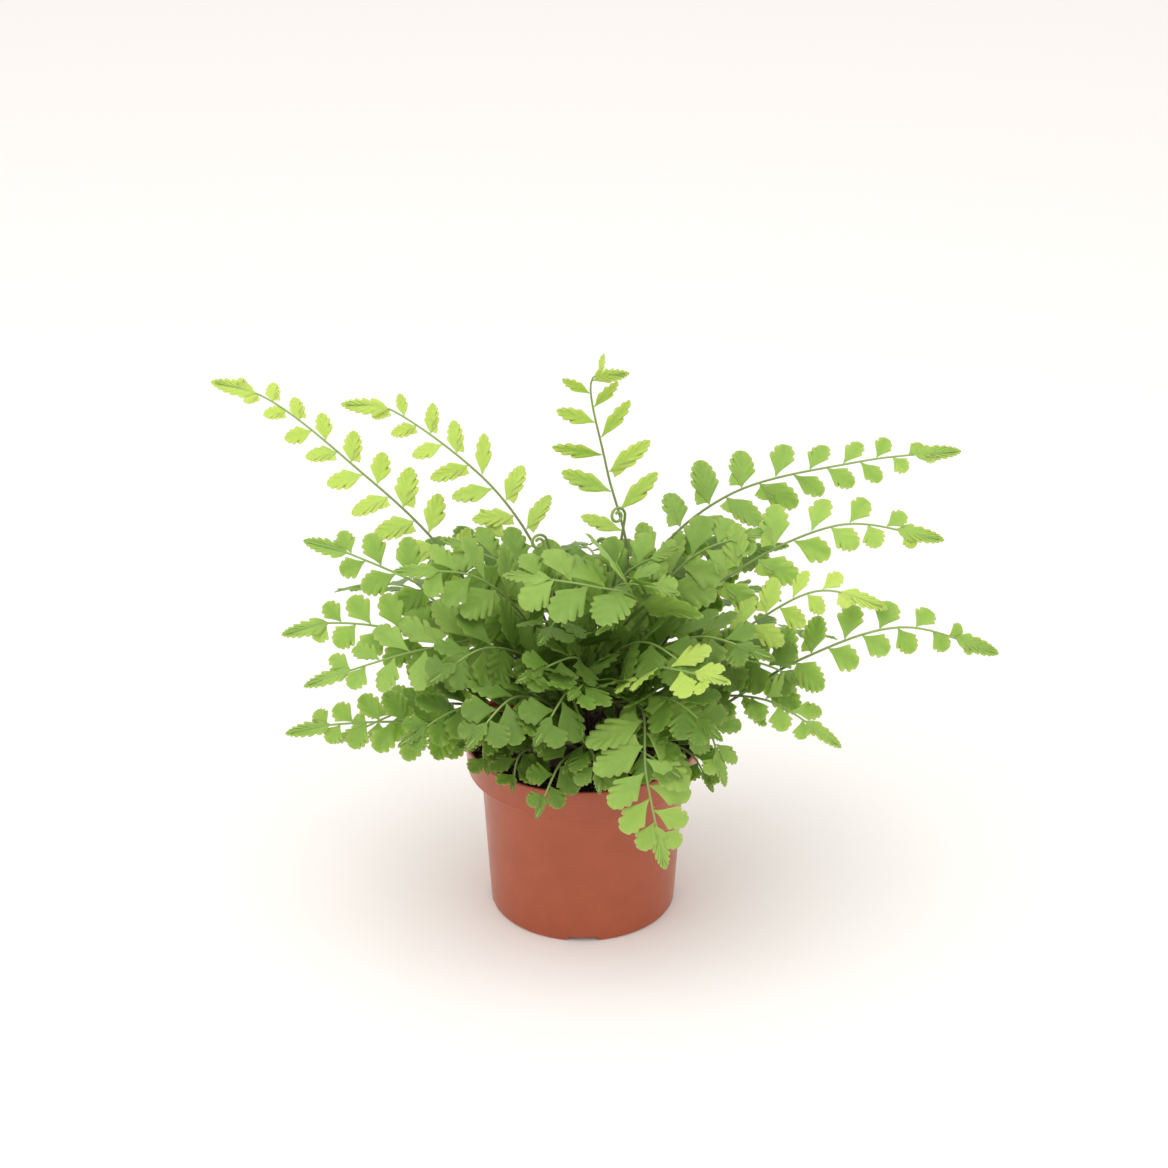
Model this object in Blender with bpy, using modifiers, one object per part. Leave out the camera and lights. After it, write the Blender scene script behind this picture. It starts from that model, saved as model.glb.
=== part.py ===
"""A young spleenwort fern in a 12 cm plastic nursery pot.

The pot, the ball of potting soil, the fern's rhizome and each of its fronds are separate solids.
Every frond is one closed leaf: a stalk that arches away from the rhizome, with leaflets along both
sides. All sizes are in millimetres and are turned into metres where a mesh is made. +Z is up, and the
origin is the middle of the pot's base, on the surface that it stands on. -Y is the pot's front.
"""

import math
from collections import namedtuple

import bmesh
import bpy
from mathutils import Matrix, Vector
from mathutils.bvhtree import BVHTree

MM = 0.001
GAP = 0.3  # clearance between neighbouring solids

# Pot
POT_HEIGHT = 93.6
RIM_RADIUS = 60.0
COLLAR_FOOT_RADIUS = 58.0
COLLAR_FOOT_Z = 77.5
BODY_TOP_RADIUS = 51.5
BODY_TOP_Z = 74.6
BASE_RADIUS = 47.3
WALL = 1.2
POT_STEPS = 40
CHANNELS = 4
CHANNEL_START = 25.0
CHANNEL_HEIGHT = 2.6
CHANNEL_FOOT_WIDTH = 18.6
CHANNEL_ROOF_WIDTH = 14.0
SLOT_WIDTH = 9.0
SLOT_FROM, SLOT_TO = 34.0, 41.0

# Soil and rhizome
SOIL_EDGE_Z = 86.0
SOIL_TOP_Z = 89.0
SOIL_STEPS = 32
RHIZOME_RADIUS = 30.0
RHIZOME_HEIGHT = 14.0
RHIZOME_STEPS = 32
RHIZOME_RINGS = 8

# Stalks and leaflets
STEM_FOOT_HALF = 0.9  # half the stalk's width where it leaves the rhizome
STEM_TIP_HALF = 0.45
STEM_DEPTH = 1.5
STALK_STATION = 13.0  # distance between outline points along the bare stalk
STALK_STATIONS = 24  # stretches of the tube that stands in for a stalk in the clearance tests
STALK_MARGIN = 0.15
SPINE_SAMPLES = 64
LEAF_DEPTH = 0.7
LEAF_CLEARANCE = 0.45  # space kept free above and below each leaflet
LEAFLET_FOOT = 1.5  # width of a leaflet's own stalk
FOOT_ANGLE, TIP_ANGLE = 66, 44  # degrees between the stalk and its lowest and highest leaflets
TERMINAL_LENGTH, TERMINAL_HALF = 6.5, 2.4  # the leaflet that ends the frond
LIFTS = (0, 8, -8, 16, -16, 25, -25, 36, -36, 50, -50)  # degrees a leaflet may turn out of the blade
SHRINKS = (1.0, 0.82, 0.66, 0.5, 0.36)

Frond = namedtuple("Frond", "name exit ring route face bare leaflets length width")

# exit: compass angle, in degrees, at which the stalk leaves the rhizome, and ring its distance from the
# middle. route: points that the stalk passes through, ending at the tip. face: the way the upper side
# looks. bare: share of the stalk below the first leaflet. leaflets: how many, both sides together.
# length, width: the longest leaflet's.
FRONDS = (
    # the long, high fronds
    Frond("frond_high_far_left", 160, 17,
          ((-68, 25, 181), (-117, 50, 221), (-156, 60, 250), (-184, 65, 258)),
          (0.25, -0.80, 0.55), 0.34, 19, 25, 12),
    Frond("frond_high_left", 128, 12, ((-15, 15, 167), (-43, 40, 209), (-92, 55, 245), (-118, 55, 250)),
          (0.30, -0.85, 0.45), 0.42, 15, 26, 10),
    Frond("frond_high_middle", 62, 10, ((23, 36, 165), (12, 54, 216), (4, 43, 266), (20, 25, 277)),
          (0.05, -0.95, 0.25), 0.45, 12, 32, 10),
    Frond("frond_high_right", 38, 15, ((30, 20, 172), (73, 45, 205), (137, 52, 220), (186, 45, 229)),
          (-0.10, -0.72, 0.68), 0.34, 19, 26, 13),
    Frond("frond_small_left", 128, 6, ((-15, 9, 142), (-32, 20, 180), (-50, 34, 201)),
          (0.20, -0.90, 0.40), 0.62, 6, 13, 7),
    # right side
    Frond("frond_right_upper", 8, 17, ((59, 0, 170), (121, 4, 206), (172, -10, 206)),
          (0.00, -0.75, 0.66), 0.40, 13, 26, 14),
    Frond("frond_right_bright", 346, 16, ((34, -10, 132), (69, -20, 156), (110, -34, 189), (142, -46, 187)),
          (0.05, -0.62, 0.78), 0.42, 12, 23, 11),
    Frond("frond_right_long", 330, 23, ((62, -16, 114), (103, -40, 155), (150, -50, 178), (196, -50, 165)),
          (0.05, -0.78, 0.62), 0.28, 17, 24, 14),
    Frond("frond_right_low", 322, 27, ((52, -24, 124), (88, -46, 137), (121, -70, 126)),
          (0.00, -0.55, 0.83), 0.30, 12, 26, 13),
    Frond("frond_right_hanging", 306, 24, ((34, -30, 126), (57, -58, 134), (67, -84, 113)),
          (0.35, -0.70, 0.62), 0.42, 9, 24, 15),
    # front
    Frond("frond_front_hanging", 286, 21, ((11, -29, 124), (28, -54, 137), (30, -82, 116), (39, -92, 72)),
          (0.05, -0.92, 0.38), 0.34, 15, 29, 13),
    Frond("frond_front_bright", 297, 10, ((20, -24, 134), (34, -56, 160), (66, -92, 171)),
          (0.05, -0.45, 0.88), 0.46, 9, 26, 12),
    Frond("frond_front_level", 330, 8, ((15, -12, 150), (26, -38, 186), (2, -50, 200), (-36, -44, 203)),
          (0.05, -0.42, 0.90), 0.44, 11, 36, 18),
    Frond("frond_front_left_drooping", 262, 14, ((-3, -30, 132), (-8, -60, 148), (-22, -80, 132)),
          (-0.10, -0.92, 0.35), 0.34, 10, 31, 17),
    Frond("frond_front_low", 250, 24, ((-3, -42, 108), (-12, -62, 109), (-22, -78, 91)),
          (0.00, -0.85, 0.50), 0.44, 7, 16, 10),
    Frond("frond_front_right_low", 311, 28, ((36, -36, 108), (52, -54, 112), (62, -70, 101)),
          (0.20, -0.70, 0.68), 0.40, 8, 19, 12),
    Frond("frond_soil_left", 216, 27, ((-38, -28, 108), (-48, -42, 109), (-46, -56, 102)),
          (-0.10, -0.72, 0.68), 0.40, 7, 17, 11),
    Frond("frond_soil_front_left", 236, 26, ((-22, -36, 106), (-31, -50, 108), (-34, -66, 98)),
          (-0.10, -0.75, 0.66), 0.40, 7, 18, 11),
    # left side
    Frond("frond_left_upper", 178, 16, ((-26, 0, 134), (-71, -4, 173), (-112, -5, 195), (-134, 0, 200)),
          (0.10, -0.82, 0.58), 0.40, 12, 26, 14),
    Frond("frond_left_broad", 190, 10, ((-22, -5, 150), (-50, -17, 188), (-88, -34, 200)),
          (-0.05, -0.55, 0.83), 0.36, 11, 32, 16),
    Frond("frond_left_middle", 196, 19,
          ((-40, -12, 134), (-85, -22, 161), (-120, -25, 168), (-143, -30, 165)),
          (0.05, -0.72, 0.70), 0.38, 13, 24, 14),
    Frond("frond_left_scalloped", 208, 17, ((-37, -18, 152), (-77, -38, 160), (-130, -60, 153)),
          (0.05, -0.50, 0.86), 0.32, 14, 30, 14),
    Frond("frond_left_low", 206, 28, ((-46, -22, 108), (-85, -46, 125), (-119, -56, 129), (-140, -60, 127)),
          (0.00, -0.70, 0.72), 0.30, 14, 22, 14),
    Frond("frond_left_short", 190, 27, ((-42, -9, 112), (-80, -22, 121), (-121, -34, 108)),
          (0.00, -0.60, 0.80), 0.32, 12, 21, 13),
    # the dense middle
    Frond("frond_inner_top", 300, 3, ((5, -7, 150), (16, -22, 186), (44, -46, 194)),
          (0.00, -0.50, 0.87), 0.38, 10, 27, 16),
    Frond("frond_inner_middle", 252, 4, ((-3, -8, 142), (-10, -28, 172), (-20, -62, 176)),
          (0.00, -0.55, 0.83), 0.36, 11, 28, 17),
    Frond("frond_inner_front_left", 242, 17, ((-15, -34, 128), (-34, -62, 146), (-54, -88, 134)),
          (0.00, -0.65, 0.76), 0.32, 11, 28, 17),
    Frond("frond_inner_front_low", 268, 22, ((-2, -42, 112), (4, -64, 120), (8, -84, 108)),
          (0.00, -0.75, 0.66), 0.32, 10, 22, 14),
    Frond("frond_inner_front_right", 308, 19, ((22, -28, 126), (42, -58, 144), (64, -86, 138)),
          (0.00, -0.60, 0.80), 0.32, 11, 27, 16),
    Frond("frond_inner_left_low", 220, 20, ((-32, -26, 118), (-58, -52, 136), (-86, -74, 128)),
          (0.00, -0.60, 0.80), 0.28, 12, 25, 15),
    Frond("frond_inner_right_low", 342, 22, ((40, -12, 128), (78, -30, 150), (112, -50, 146)),
          (0.00, -0.60, 0.80), 0.30, 12, 25, 15),
    Frond("frond_inner_back_left", 138, 19, ((-26, 24, 142), (-56, 38, 172), (-90, 44, 176)),
          (0.05, -0.35, 0.93), 0.34, 12, 27, 15),
    Frond("frond_inner_back_right", 34, 22, ((38, 26, 142), (66, 36, 172), (102, 40, 180)),
          (-0.05, -0.35, 0.93), 0.34, 12, 27, 15),
    Frond("frond_inner_back", 80, 14, ((4, 28, 142), (6, 50, 168), (-4, 84, 162)),
          (0.00, 0.10, 0.99), 0.34, 12, 27, 15),
    Frond("frond_inner_left", 228, 12, ((-20, -18, 140), (-46, -40, 162), (-72, -64, 156)),
          (0.00, -0.55, 0.83), 0.34, 11, 28, 15),
    Frond("frond_inner_front", 280, 15, ((2, -26, 128), (2, -52, 150), (-6, -84, 158)),
          (0.00, -0.60, 0.80), 0.36, 10, 30, 16),
    Frond("frond_inner_right", 318, 12, ((26, -18, 142), (56, -40, 168), (88, -66, 170)),
          (0.00, -0.55, 0.83), 0.34, 12, 27, 14),
    Frond("frond_inner_top_left", 165, 7, ((-11, 2, 146), (-32, 6, 180), (-68, 10, 197)),
          (0.05, -0.45, 0.89), 0.38, 11, 30, 15),
    Frond("frond_inner_top_right", 20, 8, ((22, 6, 146), (54, 12, 186), (92, 14, 200)),
          (-0.05, -0.50, 0.86), 0.38, 12, 28, 15),
    Frond("frond_centre_left", 270, 9, ((0, -22, 132), (-4, -46, 160), (-30, -70, 160)),
          (0.00, -0.65, 0.76), 0.36, 10, 25, 16),
    Frond("frond_centre_right", 290, 5, ((8, -14, 138), (30, -42, 166), (56, -76, 164)),
          (0.00, -0.60, 0.80), 0.36, 10, 25, 16),
    Frond("frond_centre_low", 276, 27, ((4, -44, 110), (24, -66, 122), (46, -84, 116)),
          (0.00, -0.70, 0.71), 0.34, 9, 22, 14),
    Frond("frond_centre_top", 40, 3, ((6, 4, 142), (20, 6, 178), (46, -8, 200)),
          (0.00, -0.60, 0.80), 0.40, 10, 24, 15),
    # back
    Frond("frond_back_left", 150, 26, ((-46, 26, 128), (-88, 52, 150), (-128, 72, 140)),
          (0.00, 0.15, 0.98), 0.34, 13, 25, 13),
    Frond("frond_back_left_low", 133, 28, ((-38, 42, 114), (-64, 72, 122), (-88, 98, 104)),
          (0.00, 0.40, 0.91), 0.34, 11, 24, 13),
    Frond("frond_back_middle_left", 116, 22, ((-22, 42, 130), (-38, 84, 146), (-48, 122, 128)),
          (0.00, 0.40, 0.91), 0.36, 12, 25, 13),
    Frond("frond_back_middle", 92, 20, ((0, 44, 132), (-4, 88, 148), (2, 130, 128)),
          (0.00, 0.40, 0.91), 0.36, 13, 25, 13),
    Frond("frond_back_hanging", 98, 29, ((-8, 46, 108), (-10, 68, 110), (-12, 86, 86)),
          (0.00, 0.85, 0.52), 0.40, 8, 20, 12),
    Frond("frond_back_middle_right", 66, 23, ((22, 42, 130), (44, 82, 146), (60, 116, 130)),
          (0.00, 0.40, 0.91), 0.36, 12, 25, 13),
    Frond("frond_back_right", 46, 27, ((40, 38, 126), (76, 66, 142), (104, 90, 126)),
          (0.00, 0.35, 0.93), 0.34, 12, 25, 13),
    Frond("frond_back_right_low", 20, 28, ((50, 18, 118), (90, 36, 134), (130, 48, 124)),
          (0.00, 0.15, 0.98), 0.32, 13, 23, 13),
)

Crozier = namedtuple("Crozier", "name exit ring route coil turn")

# Young fronds, still coiled. coil: the coil's outer radius. turn: compass angle that the coil faces.
COIL_TURNS = 1.4
COIL_SHRINK = 0.68  # share of its radius that the coil loses from its outside to its end
COIL_STEPS = 15
CROZIER_STALK_STEPS = 9
CROZIERS = (
    Crozier("crozier_left", 104, 9, ((-5, 14, 140), (-12, 16, 172), (-18, 16, 194)), 4.2, 200),
    Crozier("crozier_middle", 66, 6, ((8, 10, 140), (12, 22, 172), (13, 22, 188)), 3.4, 160),
    Crozier("crozier_right", 38, 9, ((11, 9, 140), (17, 22, 176), (21, 30, 200)), 4.6, 215),
)

Spine = namedtuple("Spine", "points lengths")


def material(name, colour, roughness):
    """A Principled material of one colour."""
    made = bpy.data.materials.new(name)
    made.use_nodes = True
    shader = made.node_tree.nodes["Principled BSDF"]
    shader.inputs["Base Color"].default_value = (*colour, 1.0)
    shader.inputs["Roughness"].default_value = roughness
    shader.inputs["Metallic"].default_value = 0.0
    made.diffuse_color = (*colour, 1.0)
    return made


def add_object(name, mesh, collection, finish=None):
    """A mesh as a named object in a collection."""
    made = bpy.data.objects.new(name, mesh)
    if finish:
        mesh.materials.append(finish)
    collection.objects.link(made)
    return made


def turned(name, profile, steps, collection, finish=None):
    """A profile of (radius, height), from the axis round to the axis, turned into a solid."""
    mesh = bpy.data.meshes.new(name)
    points = [(r * MM, 0.0, z * MM) for r, z in profile]
    mesh.from_pydata(points, [(i, i + 1) for i in range(len(points) - 1)], [])
    made = add_object(name, mesh, collection, finish)
    screw = made.modifiers.new("turn", "SCREW")
    screw.axis = "Z"
    screw.angle = 2 * math.pi
    screw.steps = screw.render_steps = steps
    screw.use_merge_vertices = True
    screw.merge_threshold = 0.00001
    screw.use_smooth_shade = False
    return made


def boolean(target, operation, other):
    """target joined with, or cut by, another object, which is kept as a guide."""
    change = target.modifiers.new(other.name, "BOOLEAN")
    change.operation = operation
    change.object = other
    change.solver = "EXACT"
    other.hide_render = True
    other.display_type = "WIRE"


def radial_wedge(name, start, end, floor, height, foot_width, roof_width, angle, collection):
    """A bar of trapezium section that lies along a radius, from start to end."""
    made_mesh = bmesh.new()
    bmesh.ops.create_cube(made_mesh, size=1.0)
    for vertex in made_mesh.verts:
        width = roof_width if vertex.co.z > 0 else foot_width
        along = end if vertex.co.x > 0 else start
        vertex.co = Vector((along, vertex.co.y * width, floor + (height if vertex.co.z > 0 else 0.0))) * MM
    bmesh.ops.rotate(made_mesh, verts=made_mesh.verts, cent=(0, 0, 0), matrix=Matrix.Rotation(angle, 3, "Z"))
    mesh = bpy.data.meshes.new(name)
    made_mesh.to_mesh(mesh)
    made_mesh.free()
    return add_object(name, mesh, collection)


def pot_inside():
    """The inner wall's profile, from the middle of the floor up to the rim."""
    return [
        (0.0, WALL),
        (BASE_RADIUS - WALL - 1.2, WALL),
        (BASE_RADIUS - WALL, WALL + 1.4),
        (BODY_TOP_RADIUS - WALL, BODY_TOP_Z + 0.8),
        (COLLAR_FOOT_RADIUS - WALL - 0.6, COLLAR_FOOT_Z + 1.6),
        (RIM_RADIUS - WALL, POT_HEIGHT - 0.5),
    ]


def make_pot(parts, cutters, finish):
    """A cup with a stepped collar, raised drainage channels under its floor and a slot in each."""
    outside = [
        (RIM_RADIUS - 0.5, POT_HEIGHT),
        (RIM_RADIUS, POT_HEIGHT - 0.6),
        (RIM_RADIUS - 0.1, POT_HEIGHT - 3.0),
        (COLLAR_FOOT_RADIUS + 0.2, COLLAR_FOOT_Z + 2.4),
        (COLLAR_FOOT_RADIUS - 0.6, COLLAR_FOOT_Z),
        (COLLAR_FOOT_RADIUS - 2.8, COLLAR_FOOT_Z - 1.2),
        (BODY_TOP_RADIUS, BODY_TOP_Z),
        (BASE_RADIUS, 1.6),
        (BASE_RADIUS - 0.5, 0.45),
        (BASE_RADIUS - 1.6, 0.0),
        (0.0, 0.0),
    ]
    pot = turned("pot", pot_inside() + outside, POT_STEPS, parts, finish)
    for i in range(CHANNELS):
        angle = math.radians(-90 + 360 / CHANNELS * i)
        ridge = radial_wedge(f"ridge_{i}", CHANNEL_START, BASE_RADIUS - 1.4, WALL / 2,
                             CHANNEL_HEIGHT + WALL / 2, CHANNEL_FOOT_WIDTH + 2 * WALL,
                             CHANNEL_ROOF_WIDTH + 2 * WALL, angle, cutters)
        boolean(pot, "UNION", ridge)
        channel = radial_wedge(f"channel_{i}", CHANNEL_START + 1.4, BASE_RADIUS + 10, -1.0,
                               CHANNEL_HEIGHT + 1.0, CHANNEL_FOOT_WIDTH, CHANNEL_ROOF_WIDTH, angle, cutters)
        boolean(pot, "DIFFERENCE", channel)
        slot = radial_wedge(f"slot_{i}", SLOT_FROM, SLOT_TO, CHANNEL_HEIGHT - 1.0, 4.0,
                            SLOT_WIDTH, SLOT_WIDTH, angle, cutters)
        boolean(pot, "DIFFERENCE", slot)
    return pot


def make_soil(parts, cutters, finish):
    """The root ball: it fills the pot to a finger's width below the rim, and is flat under the rhizome."""
    inner = [(r - GAP if r else 0.0, z + GAP) for r, z in pot_inside()]
    below_edge = [(r, z) for r, z in inner if z < SOIL_EDGE_Z]
    low, high = inner[-2], inner[-1]
    share = (SOIL_EDGE_Z - low[1]) / (high[1] - low[1])
    edge_radius = low[0] + (high[0] - low[0]) * share
    top = [
        (edge_radius, SOIL_EDGE_Z),
        (edge_radius - 6, SOIL_EDGE_Z + 1.4),
        (RHIZOME_RADIUS + 10, SOIL_TOP_Z - 0.5),
        (RHIZOME_RADIUS + 2, SOIL_TOP_Z),
        (0.0, SOIL_TOP_Z),
    ]
    profile = [*below_edge, *top]
    profile.reverse()  # runs down its outer side
    soil = turned("soil", profile, POT_STEPS, parts, finish)
    for i in range(CHANNELS):
        angle = math.radians(-90 + 360 / CHANNELS * i)
        groove = radial_wedge(f"groove_{i}", CHANNEL_START - GAP, BASE_RADIUS + 5, -1.0,
                              CHANNEL_HEIGHT + WALL + 1.0 + GAP, CHANNEL_FOOT_WIDTH + 5.0,
                              CHANNEL_ROOF_WIDTH + 3.4, angle, cutters)
        boolean(soil, "DIFFERENCE", groove)
    return soil


def rhizome_height(radius):
    """Height of the rhizome's surface above the soil, at a distance from the middle."""
    return RHIZOME_HEIGHT * math.sqrt(max(0.0, 1 - (radius / RHIZOME_RADIUS) ** 2))


def make_rhizome(parts, finish):
    """The low mound of old stalk bases that the fronds grow from, seated on the soil."""
    foot = SOIL_TOP_Z + GAP
    angles = [math.pi / 2 * i / RHIZOME_RINGS for i in range(RHIZOME_RINGS + 1)]
    dome = [(RHIZOME_RADIUS * math.sin(a), foot + RHIZOME_HEIGHT * math.cos(a)) for a in angles]
    return turned("rhizome", [*dome, (0.0, foot)], RHIZOME_STEPS, parts, finish)


def spline(points, samples):
    """Points along a Catmull-Rom curve that passes through all of points."""
    ends = [2 * points[0] - points[1], *points, 2 * points[-1] - points[-2]]
    made = []
    pieces = len(points) - 1
    for i in range(samples + 1):
        place = i / samples * pieces
        piece = min(int(place), pieces - 1)
        t = place - piece
        a, b, c, d = ends[piece : piece + 4]
        made.append(0.5 * (2 * b + (c - a) * t + (2 * a - 5 * b + 4 * c - d) * t * t
                           + (3 * b - a - 3 * c + d) * t * t * t))
    return made


def exit_point(compass, ring, onwards):
    """Where a stalk starts: just clear of the rhizome's surface, whatever its slant there."""
    angle = math.radians(compass)
    around = Vector((math.cos(angle), math.sin(angle), 0))
    surface = around * ring + Vector((0, 0, SOIL_TOP_Z + GAP + rhizome_height(ring)))
    slope = Vector((around.x * ring / RHIZOME_RADIUS**2, around.y * ring / RHIZOME_RADIUS**2,
                    rhizome_height(ring) / RHIZOME_HEIGHT**2)).normalized()
    lean = slope.cross((onwards - surface).normalized()).length
    return surface + slope * (GAP + math.hypot(STEM_FOOT_HALF, STEM_DEPTH / 2) * lean)


def make_spine(plant):
    """The stalk's centre line from the rhizome to the tip, with the length run at each of its points."""
    first = exit_point(plant.exit, plant.ring, Vector(plant.route[0]))
    points = spline([first, *(Vector(p) for p in plant.route)], SPINE_SAMPLES)
    lengths = [0.0]
    for a, b in zip(points, points[1:]):
        lengths.append(lengths[-1] + (b - a).length)
    return Spine(points, lengths)


def spine_at(spine, run):
    """The point and the direction of the stalk at a length run along it."""
    run = min(max(run, 0.0), spine.lengths[-1])
    i = 0
    while i < len(spine.lengths) - 2 and spine.lengths[i + 1] < run:
        i += 1
    a, b = spine.points[i], spine.points[i + 1]
    share = (run - spine.lengths[i]) / (spine.lengths[i + 1] - spine.lengths[i])
    before = spine.points[max(i - 1, 0)]
    after = spine.points[min(i + 2, len(spine.points) - 1)]
    here, there = (b - before).normalized(), (after - a).normalized()
    return a.lerp(b, share), here.lerp(there, share).normalized()


def blade_axes(spine, run, face):
    """Point, direction, right-hand side and upper side of the frond at a length run along its stalk."""
    point, along = spine_at(spine, run)
    face = Vector(face)
    upper = (face - along * face.dot(along)).normalized()
    return point, along, along.cross(upper).normalized(), upper


def stem_half(share):
    """Half the stalk's width at a share of its length."""
    return STEM_FOOT_HALF + (STEM_TIP_HALF - STEM_FOOT_HALF) * share


Leaflet = namedtuple("Leaflet", "run side angle length width")


def leaflet_plan(frond, spine):
    """The frond's leaflets: they alternate, crowd together towards the tip and get shorter there."""
    whole = spine.lengths[-1]
    start = whole * frond.bare
    blade = whole - start
    made = []
    for i in range(frond.leaflets):
        share = i / frond.leaflets
        run = start + blade * share * (1.12 - 0.12 * share)
        swell = min(1.0, 0.72 + share * 1.6)
        length = frond.length * swell * (1 - share) ** 0.62
        spacing = 2 * blade / frond.leaflets * (1.12 - 0.24 * share)
        angle = math.radians(FOOT_ANGLE + (TIP_ANGLE - FOOT_ANGLE) * share)
        room = 0.94 * spacing * math.sin(angle)
        width = min(frond.width * swell * (1 - share) ** 0.35, room, 0.9 * length)
        made.append(Leaflet(run, 1 if i % 2 else -1, angle, length, width))
    return made


def leaflet_outline(leaflet):
    """(along, across) corners of a leaflet, from one side of its foot round its tip to the other."""
    foot, wide = LEAFLET_FOOT / 2, leaflet.width / 2
    return [(0.0, -foot), (leaflet.length * 0.58, -wide), (leaflet.length, 0.0),
            (leaflet.length * 0.68, wide), (0.0, foot)]


def leaflet_axes(leaflet, spine, face, lift, whole):
    """Foot, direction, cross direction and upper side of a leaflet turned out of the blade by lift."""
    point, along, right, upper = blade_axes(spine, leaflet.run, face)
    outward = right * (leaflet.side * math.cos(lift)) + upper * math.sin(lift)
    foot = point + outward * stem_half(leaflet.run / whole)
    direction = outward * math.sin(leaflet.angle) + along * math.cos(leaflet.angle)
    across = along * math.sin(leaflet.angle) - outward * math.cos(leaflet.angle)
    return foot, direction, across, outward.cross(along).normalized() * leaflet.side


def leaflet_prism(leaflet, axes, shrink, depth):
    """A leaflet's corners as a closed prism, to test it against its neighbours."""
    foot, direction, across, upper = axes
    flat = [(a * shrink, c * (shrink if a > 0 else 1.0)) for a, c in leaflet_outline(leaflet)]
    count = len(flat)
    corners = [foot + direction * a + across * c + upper * z
               for z in (depth / 2, -depth / 2) for a, c in flat]
    sides = [(i, (i + 1) % count, count + (i + 1) % count, count + i) for i in range(count)]
    return corners, [tuple(range(count)), tuple(range(2 * count - 1, count - 1, -1)), *sides]


def stalk_tube(frond, spine):
    """The stalk as a four-sided tube, a little fat, to test leaflets against."""
    corners, faces = [], []
    whole = spine.lengths[-1]
    deep = STEM_DEPTH / 2 + STALK_MARGIN
    for i in range(STALK_STATIONS + 1):
        share = i / STALK_STATIONS
        point, _, right, upper = blade_axes(spine, whole * share, frond.face)
        half = stem_half(share) + STALK_MARGIN
        for x, y in ((half, deep), (-half, deep), (-half, -deep), (half, -deep)):
            corners.append(point + right * x + upper * y)
        if i:
            old, new = 4 * (i - 1), 4 * i
            faces += [(old + k, old + (k + 1) % 4, new + (k + 1) % 4, new + k) for k in range(4)]
    return corners, faces


def tree_of(corners, faces):
    return BVHTree.FromPolygons(corners, faces, epsilon=0.0)


def crozier_line(crozier):
    """Centre line of a coiled frond: its stalk, then a spiral that winds in on itself."""
    first = exit_point(crozier.exit, crozier.ring, Vector(crozier.route[0]))
    stalk = spline([first, *(Vector(p) for p in crozier.route)], CROZIER_STALK_STEPS)
    top, rise = stalk[-1], (stalk[-1] - stalk[-2]).normalized()
    angle = math.radians(crozier.turn)
    outward = Vector((math.cos(angle), math.sin(angle), 0))
    outward = (outward - rise * outward.dot(rise)).normalized()
    coil = []
    for i in range(1, COIL_STEPS + 1):
        turn = 2 * math.pi * COIL_TURNS * i / COIL_STEPS
        radius = crozier.coil * (1 - COIL_SHRINK * i / COIL_STEPS)
        across = crozier.coil - radius * math.cos(turn)
        coil.append(top + outward * across + rise * radius * math.sin(turn))
    return stalk + coil


def make_crozier(crozier, parts, finish):
    """A coiled young frond as a round rod that follows its centre line."""
    line = crozier_line(crozier)
    curve = bpy.data.curves.new(crozier.name, "CURVE")
    curve.dimensions = "3D"
    curve.bevel_depth = STEM_FOOT_HALF * 0.8 * MM
    curve.bevel_resolution = 1
    curve.use_fill_caps = True
    rod = curve.splines.new("POLY")
    rod.points.add(len(line) - 1)
    for point, place in zip(rod.points, line):
        point.co = (*(place * MM), 1.0)
    made = bpy.data.objects.new(crozier.name, curve)
    curve.materials.append(finish)
    parts.objects.link(made)
    return made


def fit_leaflet(leaflet, spine, face, others):
    """(leaflet, lift, shrink) at which the leaflet clears every solid in others, or None."""
    whole = spine.lengths[-1]
    for shrink in SHRINKS:
        for degrees in LIFTS:
            lift = math.radians(degrees)
            axes = leaflet_axes(leaflet, spine, face, lift, whole)
            tree = tree_of(*leaflet_prism(leaflet, axes, shrink, LEAF_DEPTH + 2 * LEAF_CLEARANCE))
            if not any(tree.overlap(other) for other in others):
                return leaflet, lift, shrink
    return None


def fit_leaflets(frond, spine, others):
    """The frond's leaflets, each turned and, where it is crowded, made smaller until it is clear."""
    found = [fit_leaflet(leaflet, spine, frond.face, others) for leaflet in leaflet_plan(frond, spine)]
    last = spine.lengths[-1] - TERMINAL_LENGTH - LEAFLET_FOOT
    return [entry for entry in found if entry and entry[0].run < last]


# A corner of a frond's outline when it is laid flat: x across the frond and y along it. leaflet is the
# number of the leaflet that the corner is on, and along and over its place there.
Corner = namedtuple("Corner", "x y leaflet along over", defaults=(None, 0.0, 0.0))


def side_corners(side, spine, fitted):
    """The outline's corners up one side of the frond, from the stalk's foot to the terminal leaflet."""
    whole = spine.lengths[-1]
    mine = [(i, entry) for i, entry in enumerate(fitted) if entry[0].side == side]
    tip_start = whole - TERMINAL_LENGTH
    first = mine[0][1][0].run if mine else tip_start
    steps = 1 + int(first / STALK_STATION)
    corners = []
    for k in range(steps):
        share = first * k / steps / whole
        corners.append(Corner(side * stem_half(share), share * whole))
    for i, (leaflet, _, shrink) in mine:
        half = stem_half(leaflet.run / whole)
        sine, cosine = math.sin(leaflet.angle), math.cos(leaflet.angle)
        for along, over in leaflet_outline(leaflet):
            if along == 0:
                corners.append(Corner(side * half, leaflet.run + over * sine))
                continue
            along, over = along * shrink, over * shrink
            x = side * (half + along * sine - over * cosine)
            corners.append(Corner(x, leaflet.run + along * cosine + over * sine, i, along, over))
    corners.append(Corner(side * stem_half(1), tip_start))
    corners.append(Corner(side * TERMINAL_HALF, tip_start + TERMINAL_LENGTH * 0.45))
    return corners


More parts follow.
